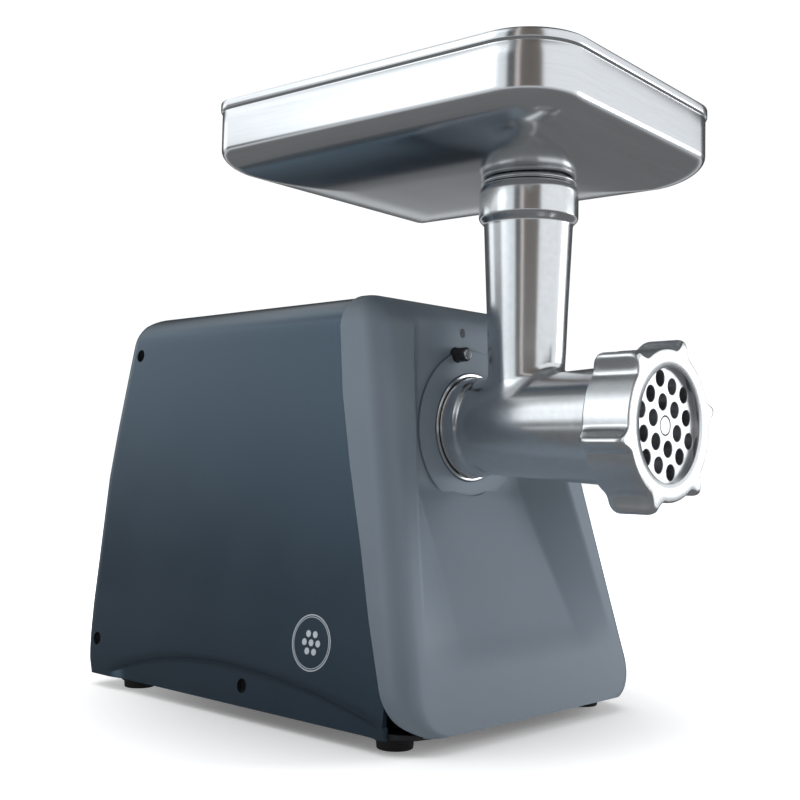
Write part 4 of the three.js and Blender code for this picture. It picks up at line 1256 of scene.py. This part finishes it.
tray = new_object("tray_pan", tray_mesh())
tray.data.set_sharp_from_angle(angle=math.radians(50))
finish_piece(tray, "tray", "stainless", sheet_metal, "tray")

# The outlet: a rolled bead under the pan and a plain spigot that drops into the feed tube.
spigot = lathe("tray_outlet", rounded([
    (21.6, 280), (21.6, 272), (23.3, 272), (23.3, 289.2), (25.3, 289.3), (25.9, 290.4), (25.3, 291.5),
    (24.2, 292.0), (21.6, 292.1), (21.6, 280),
], 0.6), 128, "Z", (0, TUBE_Y, 0))
finish_piece(spigot, "tray", "stainless", sheet_metal, "tray_spigot")

# ---- feet and screws ---------------------------------------------------------------------
# Four black rubber feet: a wide plate and a shorter, narrower pad, each on one screw.
FOOT_X = 79.8
FOOT_Y = {"front": -71.9, "rear": 142.6}
rubber = plastic(
    "black_rubber", (0.012, 0.012, 0.012), (0.035, 0.034, 0.033), 0.62, 1500, 0.25, Specular_IOR_Level=0.3,
)
for end, y in FOOT_Y.items():
    for side, word in ((-1, "left"), (1, "right")):
        place = (side * FOOT_X, y, 0)
        foot = lathe("pad_%s_%s" % (end, word), rounded([
            (2.6, 5), (2.6, 3.6), (4.8, 3.6), (4.8, 0), (9, 0), (9.4, 4.2), (10.9, 4.6), (11, 7.5),
            (2.6, 7.5), (2.6, 5),
        ], 0.6), 64, "Z", place)
        finish_piece(foot, "housing", "rubber", rubber, "foot_%s_%s" % (end, word))

# ---- pieces kept from the frame ----------------------------------------------------------
# Gears, motor, switches and the rest keep their own shapes: their edges are eased with a small
# bevel and each takes the finish of its own material.
brass_metal = metal("turned_brass", (0.72, 0.50, 0.22), 0.3, (200, 700, 200), 0.1, 0.1)
copper_metal = metal("enamelled_copper", (0.62, 0.24, 0.09), 0.32, (900, 60, 60), 0.4, 0.1)
carbon_block = plastic("carbon_block", (0.02, 0.02, 0.022), (0.04, 0.04, 0.044), 0.55, 900, 0.3)
nylon_plastic = plastic("natural_nylon", (0.62, 0.60, 0.54), (0.68, 0.66, 0.6), 0.42, 1800, 0.1)
red_plastic = plastic("red_plastic", (0.32, 0.012, 0.012), (0.4, 0.03, 0.03), 0.3)
SLOT_MATERIALS = {
    "panel": panel_plastic, "cover": cover_plastic, "casting": cast_metal, "stainless": sheet_metal,
    "black": black_plastic, "rubber": rubber, "steel": steel_metal, "brass": brass_metal,
    "copper": copper_metal, "nylon": nylon_plastic, "carbon": carbon_block, "reset": red_plastic,
}
SPECIAL = {
    "auger": metal("cast_screw", (0.7, 0.71, 0.72), 0.3, (400, 400, 400), 0.15, 0.12),
    "armature_core": metal("core_laminations", (0.30, 0.30, 0.32), 0.38, (60, 3000, 60), 0.5, 0.1),
    "motor_stator": metal("stator_laminations", (0.34, 0.34, 0.36), 0.4, (60, 3000, 60), 0.5, 0.1),
}
slot_of = {entry["node"]: entry["material_slot"] for entry in frame["record"]["subparts"]}
shown = [name for name in nodes if not nodes[name].hide_render]
for name in shown:
    node = nodes[name]
    material = SPECIAL.get(name) or SLOT_MATERIALS[slot_of[name]]
    node.data.materials.clear()
    node.data.materials.append(material)
    node.data.set_sharp_from_angle(angle=math.radians(35))
    ease_edges = node.modifiers.new("edges", "BEVEL")
    ease_edges.width = 0.0004
    ease_edges.segments = 2
    ease_edges.limit_method = "ANGLE"
    ease_edges.angle_limit = math.radians(40)

low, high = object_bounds()
